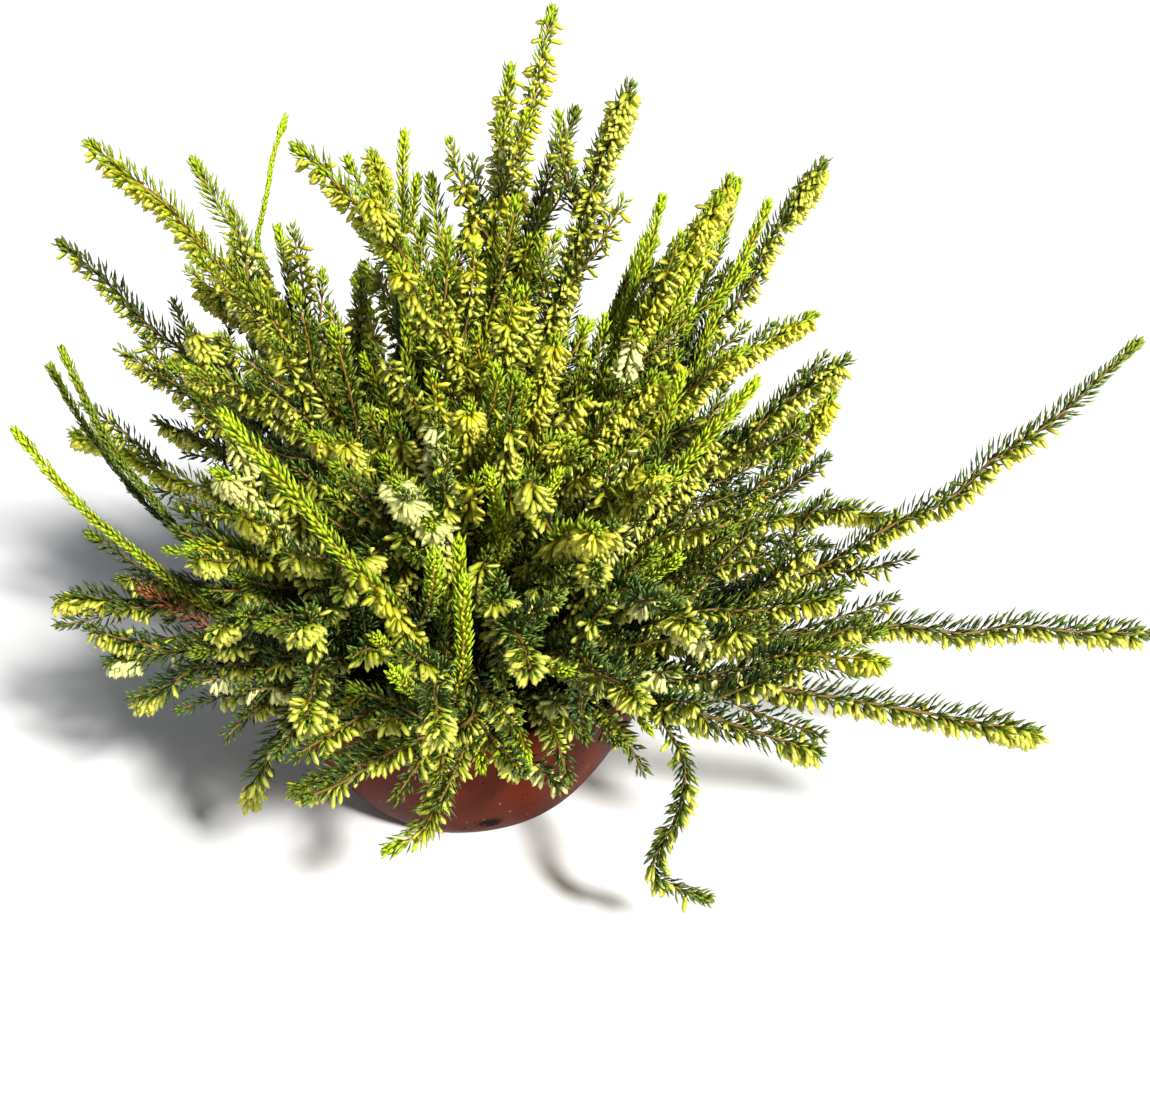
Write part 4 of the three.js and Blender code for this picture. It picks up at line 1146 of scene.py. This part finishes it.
# %% [markdown]
# ## What each shoot carries
#
# Needles, buds and colours depend on how far a point is from the tip of its shoot. Each polyline
# point therefore gets numbers: stem radius, needle length and opening, how leafy and how budded
# the stem is there, and how fresh it is. Geometry Nodes will read them by name. A habit holds what
# one sort of shoot does. Its row and its rosette are zones of buds: how near the tip each begins,
# where it ends, and how thick the buds stand. A row's end is a share of the length, and a
# rosette's end is a length in millimetres.

# %% Habits of the shoots
NO_BUDS = (0, 0.01, 0)
LEADER = dict(bare=0.14, radii=(1.35, 0.6), spacing=2.0, needle=9.8, opening=50, closing=16,
              freshest=0.75, fresh_reach=20, green=0.62, tuft=1,
              row=(9, 0.74, 0.95), rosette=(2, 12, 0.8))
DARK_LEADER = {**LEADER, "freshest": 0.3, "green": 0.06,
               "row": (6, 0.4, 0.5), "rosette": (1, 10, 0.8)}
LIME_LEADER = {**LEADER, "radii": (1.1, 0.5), "spacing": 1.6, "needle": 6.4, "opening": 34,
               "freshest": 1, "fresh_reach": 120, "green": 0.9, "row": NO_BUDS, "rosette": NO_BUDS}
BUDDED_TWIG = {**LEADER, "bare": 0.06, "radii": (0.75, 0.4), "spacing": 2.7, "needle": 8,
               "opening": 52, "freshest": 0.2, "fresh_reach": 8, "green": 0.05, "tuft": 0.15,
               "row": (11, 0.58, 0.66), "rosette": (0, 9, 1)}
LEAFY_TWIG = {**BUDDED_TWIG, "freshest": 0.35, "fresh_reach": 20, "tuft": 1,
              "row": NO_BUDS, "rosette": NO_BUDS}
LIME_TWIG = {**LIME_LEADER, "bare": 0.06, "radii": (0.75, 0.4), "fresh_reach": 40}
LEADERS = {BUDDED: LEADER, SLIM: LIME_LEADER, DARK: DARK_LEADER}
# Twigs of upright shoots get lighter green needles: partly fresh growth, and partly painted light
# on the top of the bush.
HIGH_TWIG = {"freshest": 0.95, "green": 0.55}
INNER = {"bare": 0.22, "radii": (1.0, 0.45), "spacing": 3.0}
FORK = {"bare": 0.06, "radii": (0.95, 0.45)}

LEAFY_END = {**LEADER, "spacing": 1.8, "row": (34, 0.8, 1), "rosette": NO_BUDS}
HIGH_END = {**LEAFY_END, "needle": 7, "opening": 42, "green": 0.75, "row": (4, 0.8, 0.42)}
BUDDED_END = {**LEADER, "spacing": 1.8, "freshest": 0.3, "fresh_reach": 8, "green": 0.15,
              "tuft": 0.3, "row": (10, 0.8, 0.95), "rosette": (0, 13, 1)}
ROSETTE_END = {**LEADER, "freshest": 0.2, "fresh_reach": 8, "green": 0.08, "tuft": 0.15,
               "row": (22, 0.5, 0.5), "rosette": (0, 12, 1)}
SLENDER_LIME = {**LIME_LEADER, "needle": 5, "opening": 24, "freshest": 0.6, "green": 0.3,
                "fresh_reach": 40}
SHARED_HABITS = (
    (("left_slim_mid", "left_slim_inner"), SLENDER_LIME),
    (("left_rear", "top_curl"), LEAFY_END),
    (("tallest", "top_left"), HIGH_END),
    (("right_long_low", "right_upper", "right_elbow", "right_rosette", "right_long_flat",
      "top_big", "front_lying", "left_low"), BUDDED_END),
    (("left_bottom", "front_low_left", "front_low_mid", "front_middle", "front_right",
      "front_right_low", "front_left", "front_left_side", "front_right_mid",
      "right_low_short", "front_left_up", "left_bottom_dark"), ROSETTE_END))
OWN_HABITS = {name: habit for names, habit in SHARED_HABITS for name in names}
OWN_HABITS.update(
    front_big_lime={**LIME_LEADER, "row": (70, 0.85, 0.9)},
    front_hook={**DARK_LEADER, "spacing": 1.6, "needle": 6.2, "opening": 44,
                "row": (14, 0.8, 0.38), "rosette": (0, 16, 1)},
    left_slim_low={**LIME_LEADER, "needle": 5.2, "opening": 26},
    right_long_up={**LEAFY_END, "closing": 58, "freshest": 0.5, "fresh_reach": 30, "green": 0.2,
                   "row": (46, 0.85, 1)},
    front_hang={**LEADER, "freshest": 1, "fresh_reach": 24, "green": 0.12, "row": (16, 0.8, 1),
                "rosette": NO_BUDS},
    left_rear_slim={**LIME_LEADER, "needle": 4, "opening": 14})
PALE_SHOOTS = {"left_bottom": 0.55, "front_pale_high": 0.6, "front_pale_mid": 0.5,
               "left_front_upper": 0.45}
print(len(LEADERS), "common habits, and", len(OWN_HABITS), "shoots with a habit of their own")

# %% Polylines with their numbers
TUFT_NEEDLE, TUFT_OPENING, TUFT_TIP = 5.2, 36, 3
# Over the outer part of each shoot, its needles turn to the habit's lighter green: partly fresh
# growth, and partly painted light on the outside and top of the bush.
FRESHEST_PART, FRESH_AND_LIT_RISES, LEAVES_BEGIN = 0.15, (0.2, 0.9), 0.08
ZONE_EDGE, ZONE_FADES, TAPER = 3, 0.85, 0.8


def smooth(value, low, high):
    """Rises gently from 0 at the low value to 1 at the high one."""
    t = np.clip((value - low) / (high - low), 0, 1)
    return t * t * (3 - 2 * t)


def dress(points, habit, pale=0.0, dry=0.0):
    """Gives the points of one shoot their numbers. Lengths are in millimetres."""
    travelled = travel(points)
    total = travelled[-1]
    to_tip, share = total - travelled, travelled / total
    heading = np.gradient(points, axis=0)
    heading /= np.linalg.norm(heading, axis=1)[:, None]
    near_tip = 1 - smooth(to_tip, TUFT_TIP, habit["closing"])
    reach = habit["fresh_reach"]
    fresh = habit["freshest"] * (1 - smooth(to_tip, FRESHEST_PART * reach, reach))
    wide = habit["opening"]
    everywhere = np.ones(len(points))

    def zone(near, far, thickness):
        return (thickness * smooth(to_tip, near, near + ZONE_EDGE)
                * (1 - smooth(to_tip, ZONE_FADES * far, far)))

    near, far, thickness = habit["row"]
    return dict(
        points=points * MM,
        heading=heading,
        thick=between(habit["radii"], share ** TAPER) * MM,
        leafy=smooth(share, habit["bare"], habit["bare"] + LEAVES_BEGIN),
        spacing=everywhere * habit["spacing"] * MM,
        tuft=everywhere * habit["tuft"],
        row=zone(near, far * total, thickness),
        rosette=zone(*habit["rosette"]),
        fresh=np.maximum(fresh, habit["green"] * smooth(share, *FRESH_AND_LIT_RISES)),
        needle=between((habit["needle"], TUFT_NEEDLE), near_tip) * MM,
        opening=np.radians(between((wide, min(wide, TUFT_OPENING)), near_tip)),
        to_tip=to_tip * MM,
        pale=everywhere * pale,
        dry=everywhere * dry)


def line_mesh(name, lines):
    """Makes one mesh of open polylines whose points carry the numbers of each line."""
    places = np.concatenate([line["points"] for line in lines])
    edges, first = [], 0
    for line in lines:
        count = len(line["points"])
        edges += [(first + k, first + k + 1) for k in range(count - 1)]
        first += count
    mesh = bpy.data.meshes.new(name)
    mesh.from_pydata(places.tolist(), edges, [])
    for key in lines[0]:
        if key == "points":
            continue
        values = np.concatenate([line[key] for line in lines]).astype(np.float32)
        arrow = values.ndim == 2
        attribute = mesh.attributes.new(key, "FLOAT_VECTOR" if arrow else "FLOAT", "POINT")
        attribute.data.foreach_set("vector" if arrow else "value", values.ravel())
    return mesh


CARRIED_NUMBERS = list(dress(shoots[0]["points"], LEADER))
print("numbers on each point:", sorted(CARRIED_NUMBERS))

# %% [markdown]
# ## One needle and one bud
#
# A needle is a slim three-sided blade, widest towards its blunt point and bent a little. A bud is
# a slender teardrop with three sides. Both are one unit long and point up, so that an instance's
# scale gives the real size. They are repeated thousands of times, so each has only a few faces.

# %% Needle and bud shapes
def spike(name, rings, seams):
    """Makes a small closed spike from rings of height, radius and bend, from its foot to its point.

    seams holds one number for each side: 1 where its edge runs along a groove.
    """
    sides, tip_bend = len(seams), rings[-1][2]
    points, faces = [(0, 0, 0)], []
    for height, radius, bend in rings[:-1]:
        points += [(x, y + bend, z) for x, y, z in ring(radius, height, sides)]
    points.append((0, tip_bend, 1))
    tip = len(points) - 1
    for i in range(sides):
        j = (i + 1) % sides
        faces.append((0, 1 + j, 1 + i))
        for low in range(1, tip - sides, sides):
            faces.append((low + i, low + j, low + sides + j, low + sides + i))
        faces.append((tip - sides + i, tip - sides + j, tip))
    mesh = bpy.data.meshes.new(name)
    mesh.from_pydata(points, [], faces)
    mesh.shade_smooth()
    carried_values = {"along": [z for x, y, z in points],
                      "seam": [0, *list(seams) * (len(rings) - 1), 0]}
    for key, values in carried_values.items():
        mesh.attributes.new(key, "FLOAT", "POINT").data.foreach_set("value", values)
    return add_object(name, mesh)


needle_shape = spike("needle_shape", [(0.6, 0.5, -0.12), (1, 0, 0.3)], (0, 1, 0))
bud_shape = spike("bud_shape", [(0.3, 0.46, 0.03), (0.8, 0.48, 0), (1, 0, 0)], (1, 0, 0))
print("needle:", triangle_count(needle_shape.data), "triangles, bud:",
      triangle_count(bud_shape.data), "triangles")

# %% [markdown]
# ## Growing things round a shoot
#
# Needles, tip tufts, rows of buds and rosettes all follow one pattern: points at equal steps along
# a curve, several copies at each point turned round it, each leaning away from the stem by some
# angle. One Geometry Nodes group does that, and the shoot tree uses it four times. A second group
# tells whether a place is in the pot's wall, in the soil or under the ground, where none may grow.

# %% Group: clear of the pot
GROUND_CLEARANCE = 0.5 * MM
free_place, given, result = new_tree(
    "Clear of pot", "GeometryNodeTree",
    {ARROW: ["Place"], NUMBER: ["Pot Height", "Rim Radius", "Base Radius", "Curve", "Wall",
                                "Soil Height", "Margin"]}, {NUMBER: ["Clear"]})
tree, margin = free_place, given["Margin"]


def all_of(tree, *tests):
    """One where every test is met, else nought."""
    met = tests[0]
    for test in tests[1:]:
        met = maths(tree, "MULTIPLY", met, test)
    return met


up = part_of(tree, given["Place"], "Z")
from_axis = vectors(tree, "LENGTH", vectors(tree, "MULTIPLY", given["Place"], (1, 1, 0)))
share = add_node(tree, "ShaderNodeClamp", {"Value": maths(tree, "DIVIDE", up, given["Pot Height"])})
widening = maths(tree, "MULTIPLY",
                 maths(tree, "SUBTRACT", given["Rim Radius"], given["Base Radius"]),
                 maths(tree, "POWER", share.outputs["Result"], given["Curve"]))
wall_outer = maths(tree, "ADD", given["Base Radius"], widening)
wall_inner = maths(tree, "SUBTRACT", wall_outer, given["Wall"])
below_rim, below_soil = (
    maths(tree, "LESS_THAN", up, maths(tree, "ADD", given[top], margin))
    for top in ("Pot Height", "Soil Height"))
within_outer = maths(tree, "LESS_THAN", from_axis, maths(tree, "ADD", wall_outer, margin))
beyond_inner = maths(tree, "GREATER_THAN", from_axis, maths(tree, "SUBTRACT", wall_inner, margin))
blocked = maths(tree, "MAXIMUM", all_of(tree, below_rim, within_outer, beyond_inner),
                all_of(tree, within_outer, below_soil))
blocked = maths(tree, "MAXIMUM", blocked, maths(tree, "LESS_THAN", up, GROUND_CLEARANCE))
fill(tree, result["Clear"], maths(tree, "SUBTRACT", 1.0, blocked))
print("group:", free_place.name)

# %% Group: grow round a shoot
TURN_VARIES, LENGTH_VARIES, FOOT_IN_STEM = 0.35, (0.8, 1.1), 0.6
ABOVE, BELOW = (0.15, 0.6), (-0.1, -0.6)
POT_SIZES = {
    "Pot Height": POT_HEIGHT, "Rim Radius": POT_RIM_RADIUS, "Base Radius": POT_BASE_RADIUS,
    "Curve": POT_CURVE, "Wall": POT_WALL, "Soil Height": SOIL_TOP, "Margin": 1.2 * MM}
around_shoot, given, result = new_tree(
    "Grow round a shoot", "GeometryNodeTree",
    {GEOMETRY: ["Shoots", "Element"], COUNT: ["Number", "Seed"],
     NUMBER: ["Spacing", "Chance", "Opening", "Opening Varies", "Length", "Width", "Thickness",
              "Droop", "Bare Above", "Bare Below"]}, {GEOMETRY: ["Grown"]})
tree = around_shoot


def drawn(low, high, number):
    """A random number with the group's seed, moved on by a number of its own."""
    return random_number(tree, low, high, maths(tree, "ADD", given["Seed"], number))


points = add_node(tree, "GeometryNodeCurveToPoints",
                  {"Curve": given["Shoots"], "Length": given["Spacing"]}, mode="LENGTH").outputs
index = add_node(tree, "GeometryNodeInputIndex").outputs["Index"]
copies = add_node(tree, "GeometryNodeDuplicateElements", {
    "Geometry": with_attribute(tree, points["Points"], "whorl", index),
    "Amount": given["Number"]}, domain="POINT").outputs
heading = named_value(tree, "heading", "FLOAT_VECTOR")
place_in_ring = maths(tree, "ADD", copies["Duplicate Index"],
                      maths(tree, "MULTIPLY", named_value(tree, "whorl"), 0.5))
angle = maths(tree, "MULTIPLY_ADD", maths(tree, "DIVIDE", place_in_ring, given["Number"]),
              2 * math.pi, drawn(-TURN_VARIES, TURN_VARIES, 0))
outwards = add_node(tree, "ShaderNodeVectorRotate", {
    "Vector": points["Normal"], "Axis": heading, "Angle": angle}).outputs["Vector"]
opening = maths(tree, "MULTIPLY_ADD", drawn(-1.0, 1.0, 1), given["Opening Varies"],
                given["Opening"])
lean_out = vectors(tree, "ADD", vectors(tree, "SCALE", heading, maths(tree, "COSINE", opening)),
                   vectors(tree, "SCALE", outwards, maths(tree, "SINE", opening)))
sink = vectors(tree, "SCALE", (0.0, 0.0, -1.0), given["Droop"])
direction = vectors(tree, "NORMALIZE", vectors(tree, "ADD", lean_out, sink))
length = maths(tree, "MULTIPLY", given["Length"], drawn(*LENGTH_VARIES, 2))
bark_place = maths(tree, "MULTIPLY", named_value(tree, "thick"), FOOT_IN_STEM)
foot = vectors(tree, "ADD", add_node(tree, "GeometryNodeInputPosition").outputs["Position"],
               vectors(tree, "SCALE", outwards, bark_place))
end = vectors(tree, "ADD", foot, vectors(tree, "SCALE", direction, length))
middle = vectors(tree, "SCALE", vectors(tree, "ADD", foot, end), 0.5)
clear = [place_group(tree, free_place, {"Place": place, **POT_SIZES}) for place in (end, middle)]

upward = part_of(tree, outwards, "Z")
spared = maths(tree, "MULTIPLY", given["Bare Above"], ramp_between(tree, upward, *ABOVE))
spared = maths(tree, "MULTIPLY_ADD", given["Bare Below"],
               ramp_between(tree, upward, *BELOW), spared)
chance = maths(tree, "MULTIPLY", given["Chance"], maths(tree, "SUBTRACT", 1.0, spared))
grows = all_of(tree, maths(tree, "LESS_THAN", drawn(0.0, 1.0, 3), chance), *clear)
print("group begun:", around_shoot.name)

# %% [markdown]
# A field is worked out anew wherever it is read. The random numbers would change once the
# unwanted points are gone, so every value is captured on the points before that.

# %% Capturing the values, then placing the instances
capture = add_node(tree, "GeometryNodeCaptureAttribute", domain="POINT")
for name, kind, value in (("Foot", "VECTOR", foot), ("Direction", "VECTOR", direction),
                          ("Across", "VECTOR", vectors(tree, "CROSS_PRODUCT", heading, outwards)),
                          ("Length", "FLOAT", length), ("Grows", "FLOAT", grows)):
    capture.capture_items.new(kind, name)
    fill(tree, capture.inputs[name], value)
fill(tree, capture.inputs["Geometry"], copies["Geometry"])
captured = capture.outputs
kept = add_node(tree, "GeometryNodeSeparateGeometry", {
    "Geometry": captured["Geometry"], "Selection": captured["Grows"]}, domain="POINT")
placed = add_node(tree, "GeometryNodeSetPosition", {
    "Geometry": kept.outputs["Selection"], "Position": captured["Foot"]})
facing = add_node(tree, "FunctionNodeAxesToRotation", {
    "Primary Axis": captured["Direction"], "Secondary Axis": captured["Across"]},
    primary_axis="Z", secondary_axis="X")
size = add_node(tree, "ShaderNodeCombineXYZ", {
    "X": given["Width"], "Y": given["Thickness"], "Z": captured["Length"]})
grown = add_node(tree, "GeometryNodeInstanceOnPoints", {
    "Points": placed.outputs["Geometry"], "Instance": given["Element"],
    "Rotation": facing.outputs["Rotation"], "Scale": size.outputs["Vector"]})
fill(tree, result["Grown"], with_attribute(
    tree, grown.outputs["Instances"], "tint", drawn(0.0, 1.0, 4), domain="INSTANCE"))
print("group:", around_shoot.name, "with", len(around_shoot.nodes), "nodes")

# %% [markdown]
# ## The tree that dresses a shoot
#
# The polylines become smooth curves. One branch sweeps a five-sided stem along them. Four more
# grow needles, the tight tuft at each tip, rows of hanging buds, and the rosette of buds at a tip.
# The tree ends by making all instances real and by painting bark, needles and buds.

# %% Tree: heath shoots
STEM_SIDES, STEM_SMOOTHNESS = 5, 2
TUFT_FOOT_OPENING, TUFT_NEEDLE_SHARE = 0.12, 0.92
WHORL_SEED, TUFT_SEED, ROW_SEED, ROSETTE_SEED = 0, 20, 40, 60
ROW_THINS_BELOW, ROW_BARE_ABOVE, ROSETTE_BARE_ABOVE = 0.8, 0.92, 0.35
CLUMPS_FROM, CLUMPS_TO, THINNEST_CLUMP = 0.36, 0.56, 0.45

heath_tree, given, result = new_tree(
    "Heath shoots", "GeometryNodeTree",
    {GEOMETRY: ["Shoots"], OBJECT: ["Needle", "Bud"],
     COUNT: ["Seed", "Needles in Whorl", "Tuft Needles", "Row Buds", "Rosette Buds"],
     NUMBER: ["Needle Width", "Needle Thickness", "Tuft Spacing", "Tuft Reach", "Tuft Opening",
              "Clump Scale", "Row Spacing", "Rosette Spacing", "Bud Length", "Bud Width",
              "Bud Opening", "Row Droop", "Rosette Droop"],
     MATERIAL: ["Bark", "Needle Skin", "Bud Skin"]}, {GEOMETRY: ["Shoots"]})
tree = heath_tree
lines = add_node(tree, "GeometryNodeMeshToCurve", {"Mesh": given["Shoots"]})
curved = add_node(tree, "GeometryNodeCurveSplineType", {"Curve": lines.outputs["Curve"]},
                  spline_type="CATMULL_ROM")
smoothed = add_node(tree, "GeometryNodeSetSplineResolution", {
    "Geometry": curved.outputs["Curve"], "Resolution": STEM_SMOOTHNESS}).outputs["Geometry"]
stem_ring = add_node(tree, "GeometryNodeCurvePrimitiveCircle",
                     {"Resolution": STEM_SIDES, "Radius": 1.0})
tubes = add_node(tree, "GeometryNodeCurveToMesh", {
    "Curve": smoothed, "Profile Curve": stem_ring.outputs["Curve"],
    "Scale": named_value(tree, "thick"), "Fill Caps": True})
stems = add_node(tree, "GeometryNodeSetShadeSmooth", {"Geometry": tubes.outputs["Mesh"]})


def grow(element, first_seed, values):
    """Grows one thing along every shoot."""
    source = add_node(tree, "GeometryNodeObjectInfo", {"Object": given[element]})
    return place_group(tree, around_shoot, {
        "Shoots": smoothed, "Element": source.outputs["Geometry"],
        "Seed": maths(tree, "ADD", given["Seed"], first_seed), **values})


needle_sizes = {"Width": given["Needle Width"], "Thickness": given["Needle Thickness"]}
whorls = grow("Needle", WHORL_SEED, {
    **needle_sizes, "Spacing": named_value(tree, "spacing"), "Number": given["Needles in Whorl"],
    "Chance": named_value(tree, "leafy"), "Opening": named_value(tree, "opening"),
    "Opening Varies": 0.17, "Length": named_value(tree, "needle"), "Droop": -0.12,
    "Bare Below": maths(tree, "MULTIPLY", named_value(tree, "row"), ROW_THINS_BELOW)})
to_tip = named_value(tree, "to_tip")
near_tip = maths(tree, "LESS_THAN", to_tip, given["Tuft Reach"])
tip_share = maths(tree, "DIVIDE", to_tip, given["Tuft Reach"])
tufts = grow("Needle", TUFT_SEED, {
    **needle_sizes, "Spacing": given["Tuft Spacing"], "Number": given["Tuft Needles"],
    "Chance": maths(tree, "MULTIPLY", named_value(tree, "tuft"), near_tip),
    "Opening": maths(tree, "MULTIPLY_ADD", tip_share, given["Tuft Opening"], TUFT_FOOT_OPENING),
    "Opening Varies": 0.1,
    "Length": maths(tree, "MULTIPLY", named_value(tree, "needle"), TUFT_NEEDLE_SHARE)})

# %% [markdown]
# Buds sit thicker in some parts of the bush than in others, so a soft noise thins the rows. The
# rosettes at the tips stay full. Both sorts hang, and few buds stand on the upper side.

# %% Tree: buds and paint
place = add_node(tree, "GeometryNodeInputPosition").outputs["Position"]
patchy = ramp_between(tree, noise(tree, place, given["Clump Scale"], 1.0),
                      CLUMPS_FROM, CLUMPS_TO, THINNEST_CLUMP, 1.0)
parts = [(0, stems.outputs["Geometry"]), (1, whorls), (1, tufts)]
for zone, first_seed, bare_above, thickness in (
        ("Row", ROW_SEED, ROW_BARE_ABOVE, patchy),
        ("Rosette", ROSETTE_SEED, ROSETTE_BARE_ABOVE, 1.0)):
    parts.append((2, grow("Bud", first_seed, {
        "Spacing": given[zone + " Spacing"], "Number": given[zone + " Buds"],
        "Chance": maths(tree, "MULTIPLY", named_value(tree, zone.lower()), thickness),
        "Opening": given["Bud Opening"], "Opening Varies": 0.5, "Length": given["Bud Length"],
        "Width": given["Bud Width"], "Thickness": given["Bud Width"],
        "Droop": given[zone + " Droop"], "Bare Above": bare_above})))
marked = [with_attribute(tree, branch, "part", float(number), domain="INSTANCE")
          if number else branch for number, branch in parts]
fill(tree, result["Shoots"], join_and_paint(
    tree, marked, [given[name] for name in ("Bark", "Needle Skin", "Bud Skin")]))
print("tree:", heath_tree.name, "with", len(heath_tree.nodes), "nodes")

# %% [markdown]
# ## Dressing every spray
#
# Each stem of the CAD model is one piece: its own line, its forks, and their twigs. Twigs of
# upright shoots are fresher and lighter than those of leaning ones: partly fresh growth, and
# partly painted light on the top of the bush. The helpers are all made first, so that Blender
# works them out together. The small inner shoots come last, in two pieces that stand for no CAD
# node.

# %% Sprays
ROOT_DEPTH, TIP_CUT = 10, 1.5
SIZES = {
    "Needles in Whorl": 4, "Needle Width": 1.65 * MM, "Needle Thickness": 1.0 * MM,
    "Tuft Spacing": 1.1 * MM, "Tuft Reach": 6.5 * MM, "Tuft Needles": 3, "Tuft Opening": 0.5,
    "Clump Scale": 95.0, "Row Spacing": 3.5 * MM, "Row Buds": 13, "Row Droop": 0.65,
    "Rosette Spacing": 1.3 * MM, "Rosette Buds": 15, "Rosette Droop": 0.95,
    "Bud Length": 7.4 * MM, "Bud Width": 2.35 * MM, "Bud Opening": 1.15,
    "Needle": needle_shape, "Bud": bud_shape,
    "Bark": bark, "Needle Skin": needle_skin, "Bud Skin": bud_skin}
SLOTS = {BUDDED: "budded_shoots", SLIM: "lime_shoots", DARK: "dark_shoots"}
# Twigs of shoots that lean less than these angles are lighter green: partly fresh growth, and
# partly painted light on the top of the bush.
FRESH_AND_LIT_LEANS = (22, 58)
FIRST_SEED, INNER_SEED = 100, 900


def trimmed(points):
    """Ends a shoot a little short, so that its needles stay inside the CAD model's box."""
    points = points.copy()
    points[-1] -= unit(points[-1] - points[-2]) * TIP_CUT
    return points


def with_root(points):
    """Carries a stem straight down into the soil."""
    return np.concatenate([[points[0] - [0, 0, ROOT_DEPTH]], points])


def twig_habit(kind, in_bud, lean):
    """The habit of a twig, fresher and lighter where its shoot stands upright: fresh growth, and
    painted light on the top of the bush.
    """
    habit = LIME_TWIG if kind == SLIM else BUDDED_TWIG if in_bud else LEAFY_TWIG
    upright = 1 - smooth(lean, *FRESH_AND_LIT_LEANS)
    raised = {key: max(habit[key], between((habit[key], high), upright))
              for key, high in HIGH_TWIG.items()}
    return {**habit, **raised}


def lines_of(stem_name):
    """All the lines of one spray: its stem, its forks, and the twigs of both."""
    lines = []
    for shoot in shoots:
        if shoot["stem"] != stem_name:
            continue
        kind, name, route = shoot["kind"], shoot["name"], trimmed(shoot["points"])
        habit = OWN_HABITS.get(name, LEADERS[kind])
        if shoot["parent"] is None:
            route = with_root(route)
        else:
            habit = {**habit, **FORK}
        lines.append(dress(route, habit, pale=PALE_SHOOTS.get(name, 0.0)))
        lines += [dress(twig["points"], twig_habit(kind, twig["in_bud"], shoot["lean"]),
                        twig["pale"], twig["dry"]) for twig in twigs[name]]
    return lines


helpers = []


def start_spray(name, lines, seed, nodes, slot):
    helper = add_object(name + "_lines", line_mesh(name + "_lines", lines))
    apply_tree(helper, heath_tree, {**SIZES, "Seed": seed})
    helpers.append((helper, name, nodes, slot))


for i, shoot in enumerate(s for s in shoots if s["parent"] is None):
    name = shoot["name"]
    start_spray("heath_" + name, lines_of(name), FIRST_SEED + i, ["spray_" + name],
                SLOTS[shoot["kind"]])
for name, low, high in (("heath_inner_front", 180, 360), ("heath_inner_rear", 0, 180)):
    lines = [dress(with_root(shoot["points"]),
                   {**(LIME_TWIG if shoot["kind"] == SLIM else BUDDED_TWIG), **INNER})
             for shoot in inner if low <= shoot["bearing"] < high]
    start_spray(name, lines, INNER_SEED + low, [], "budded_shoots")
print(len(helpers), "helpers with", len(SIZES), "inputs each")

# %% [markdown]
# The finished meshes keep only the numbers that their materials read. Each face's material tells
# what it belongs to, which counts the needles and the buds.

# %% From helpers to pieces
KEPT_NUMBERS = {"fresh", "tint", "along", "seam", "dry", "pale"}
SPENT_NUMBERS = {*CARRIED_NUMBERS, "whorl", "part"} - KEPT_NUMBERS
counts, grown_faces = {}, np.zeros(3, dtype=int)
for helper, name, nodes, slot in helpers:
    piece = finish_piece(helper, name, nodes)
    for key in SPENT_NUMBERS & set(piece.data.attributes.keys()):
        piece.data.attributes.remove(piece.data.attributes[key])
    counts[name] = triangle_count(piece.data)
    painted = np.zeros(len(piece.data.polygons), dtype=np.int32)
    piece.data.polygons.foreach_get("material_index", painted)
    grown_faces += np.bincount(painted, minlength=3)
needles, hanging = (grown_faces[number] // len(shape.data.polygons)
                    for number, shape in ((1, needle_shape), (2, bud_shape)))
print(needles, "needles and", hanging, "buds")
for shape in (needle_shape, bud_shape):
    bpy.data.objects.remove(shape)
largest = max(counts, key=counts.get)
print(len(counts), "sprays,", sum(counts.values()), "triangles, largest", largest, counts[largest])

# %% [markdown]
# ## Sizes
#
# The dressed plant has to stay inside the CAD model's box, so both boxes are written down.

# %% Boxes and finish
visual_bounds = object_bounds()
for name, box in (("CAD", cad_bounds), ("visual", visual_bounds)):
    print(name, "box", [[round(v, 4) for v in corner] for corner in box])
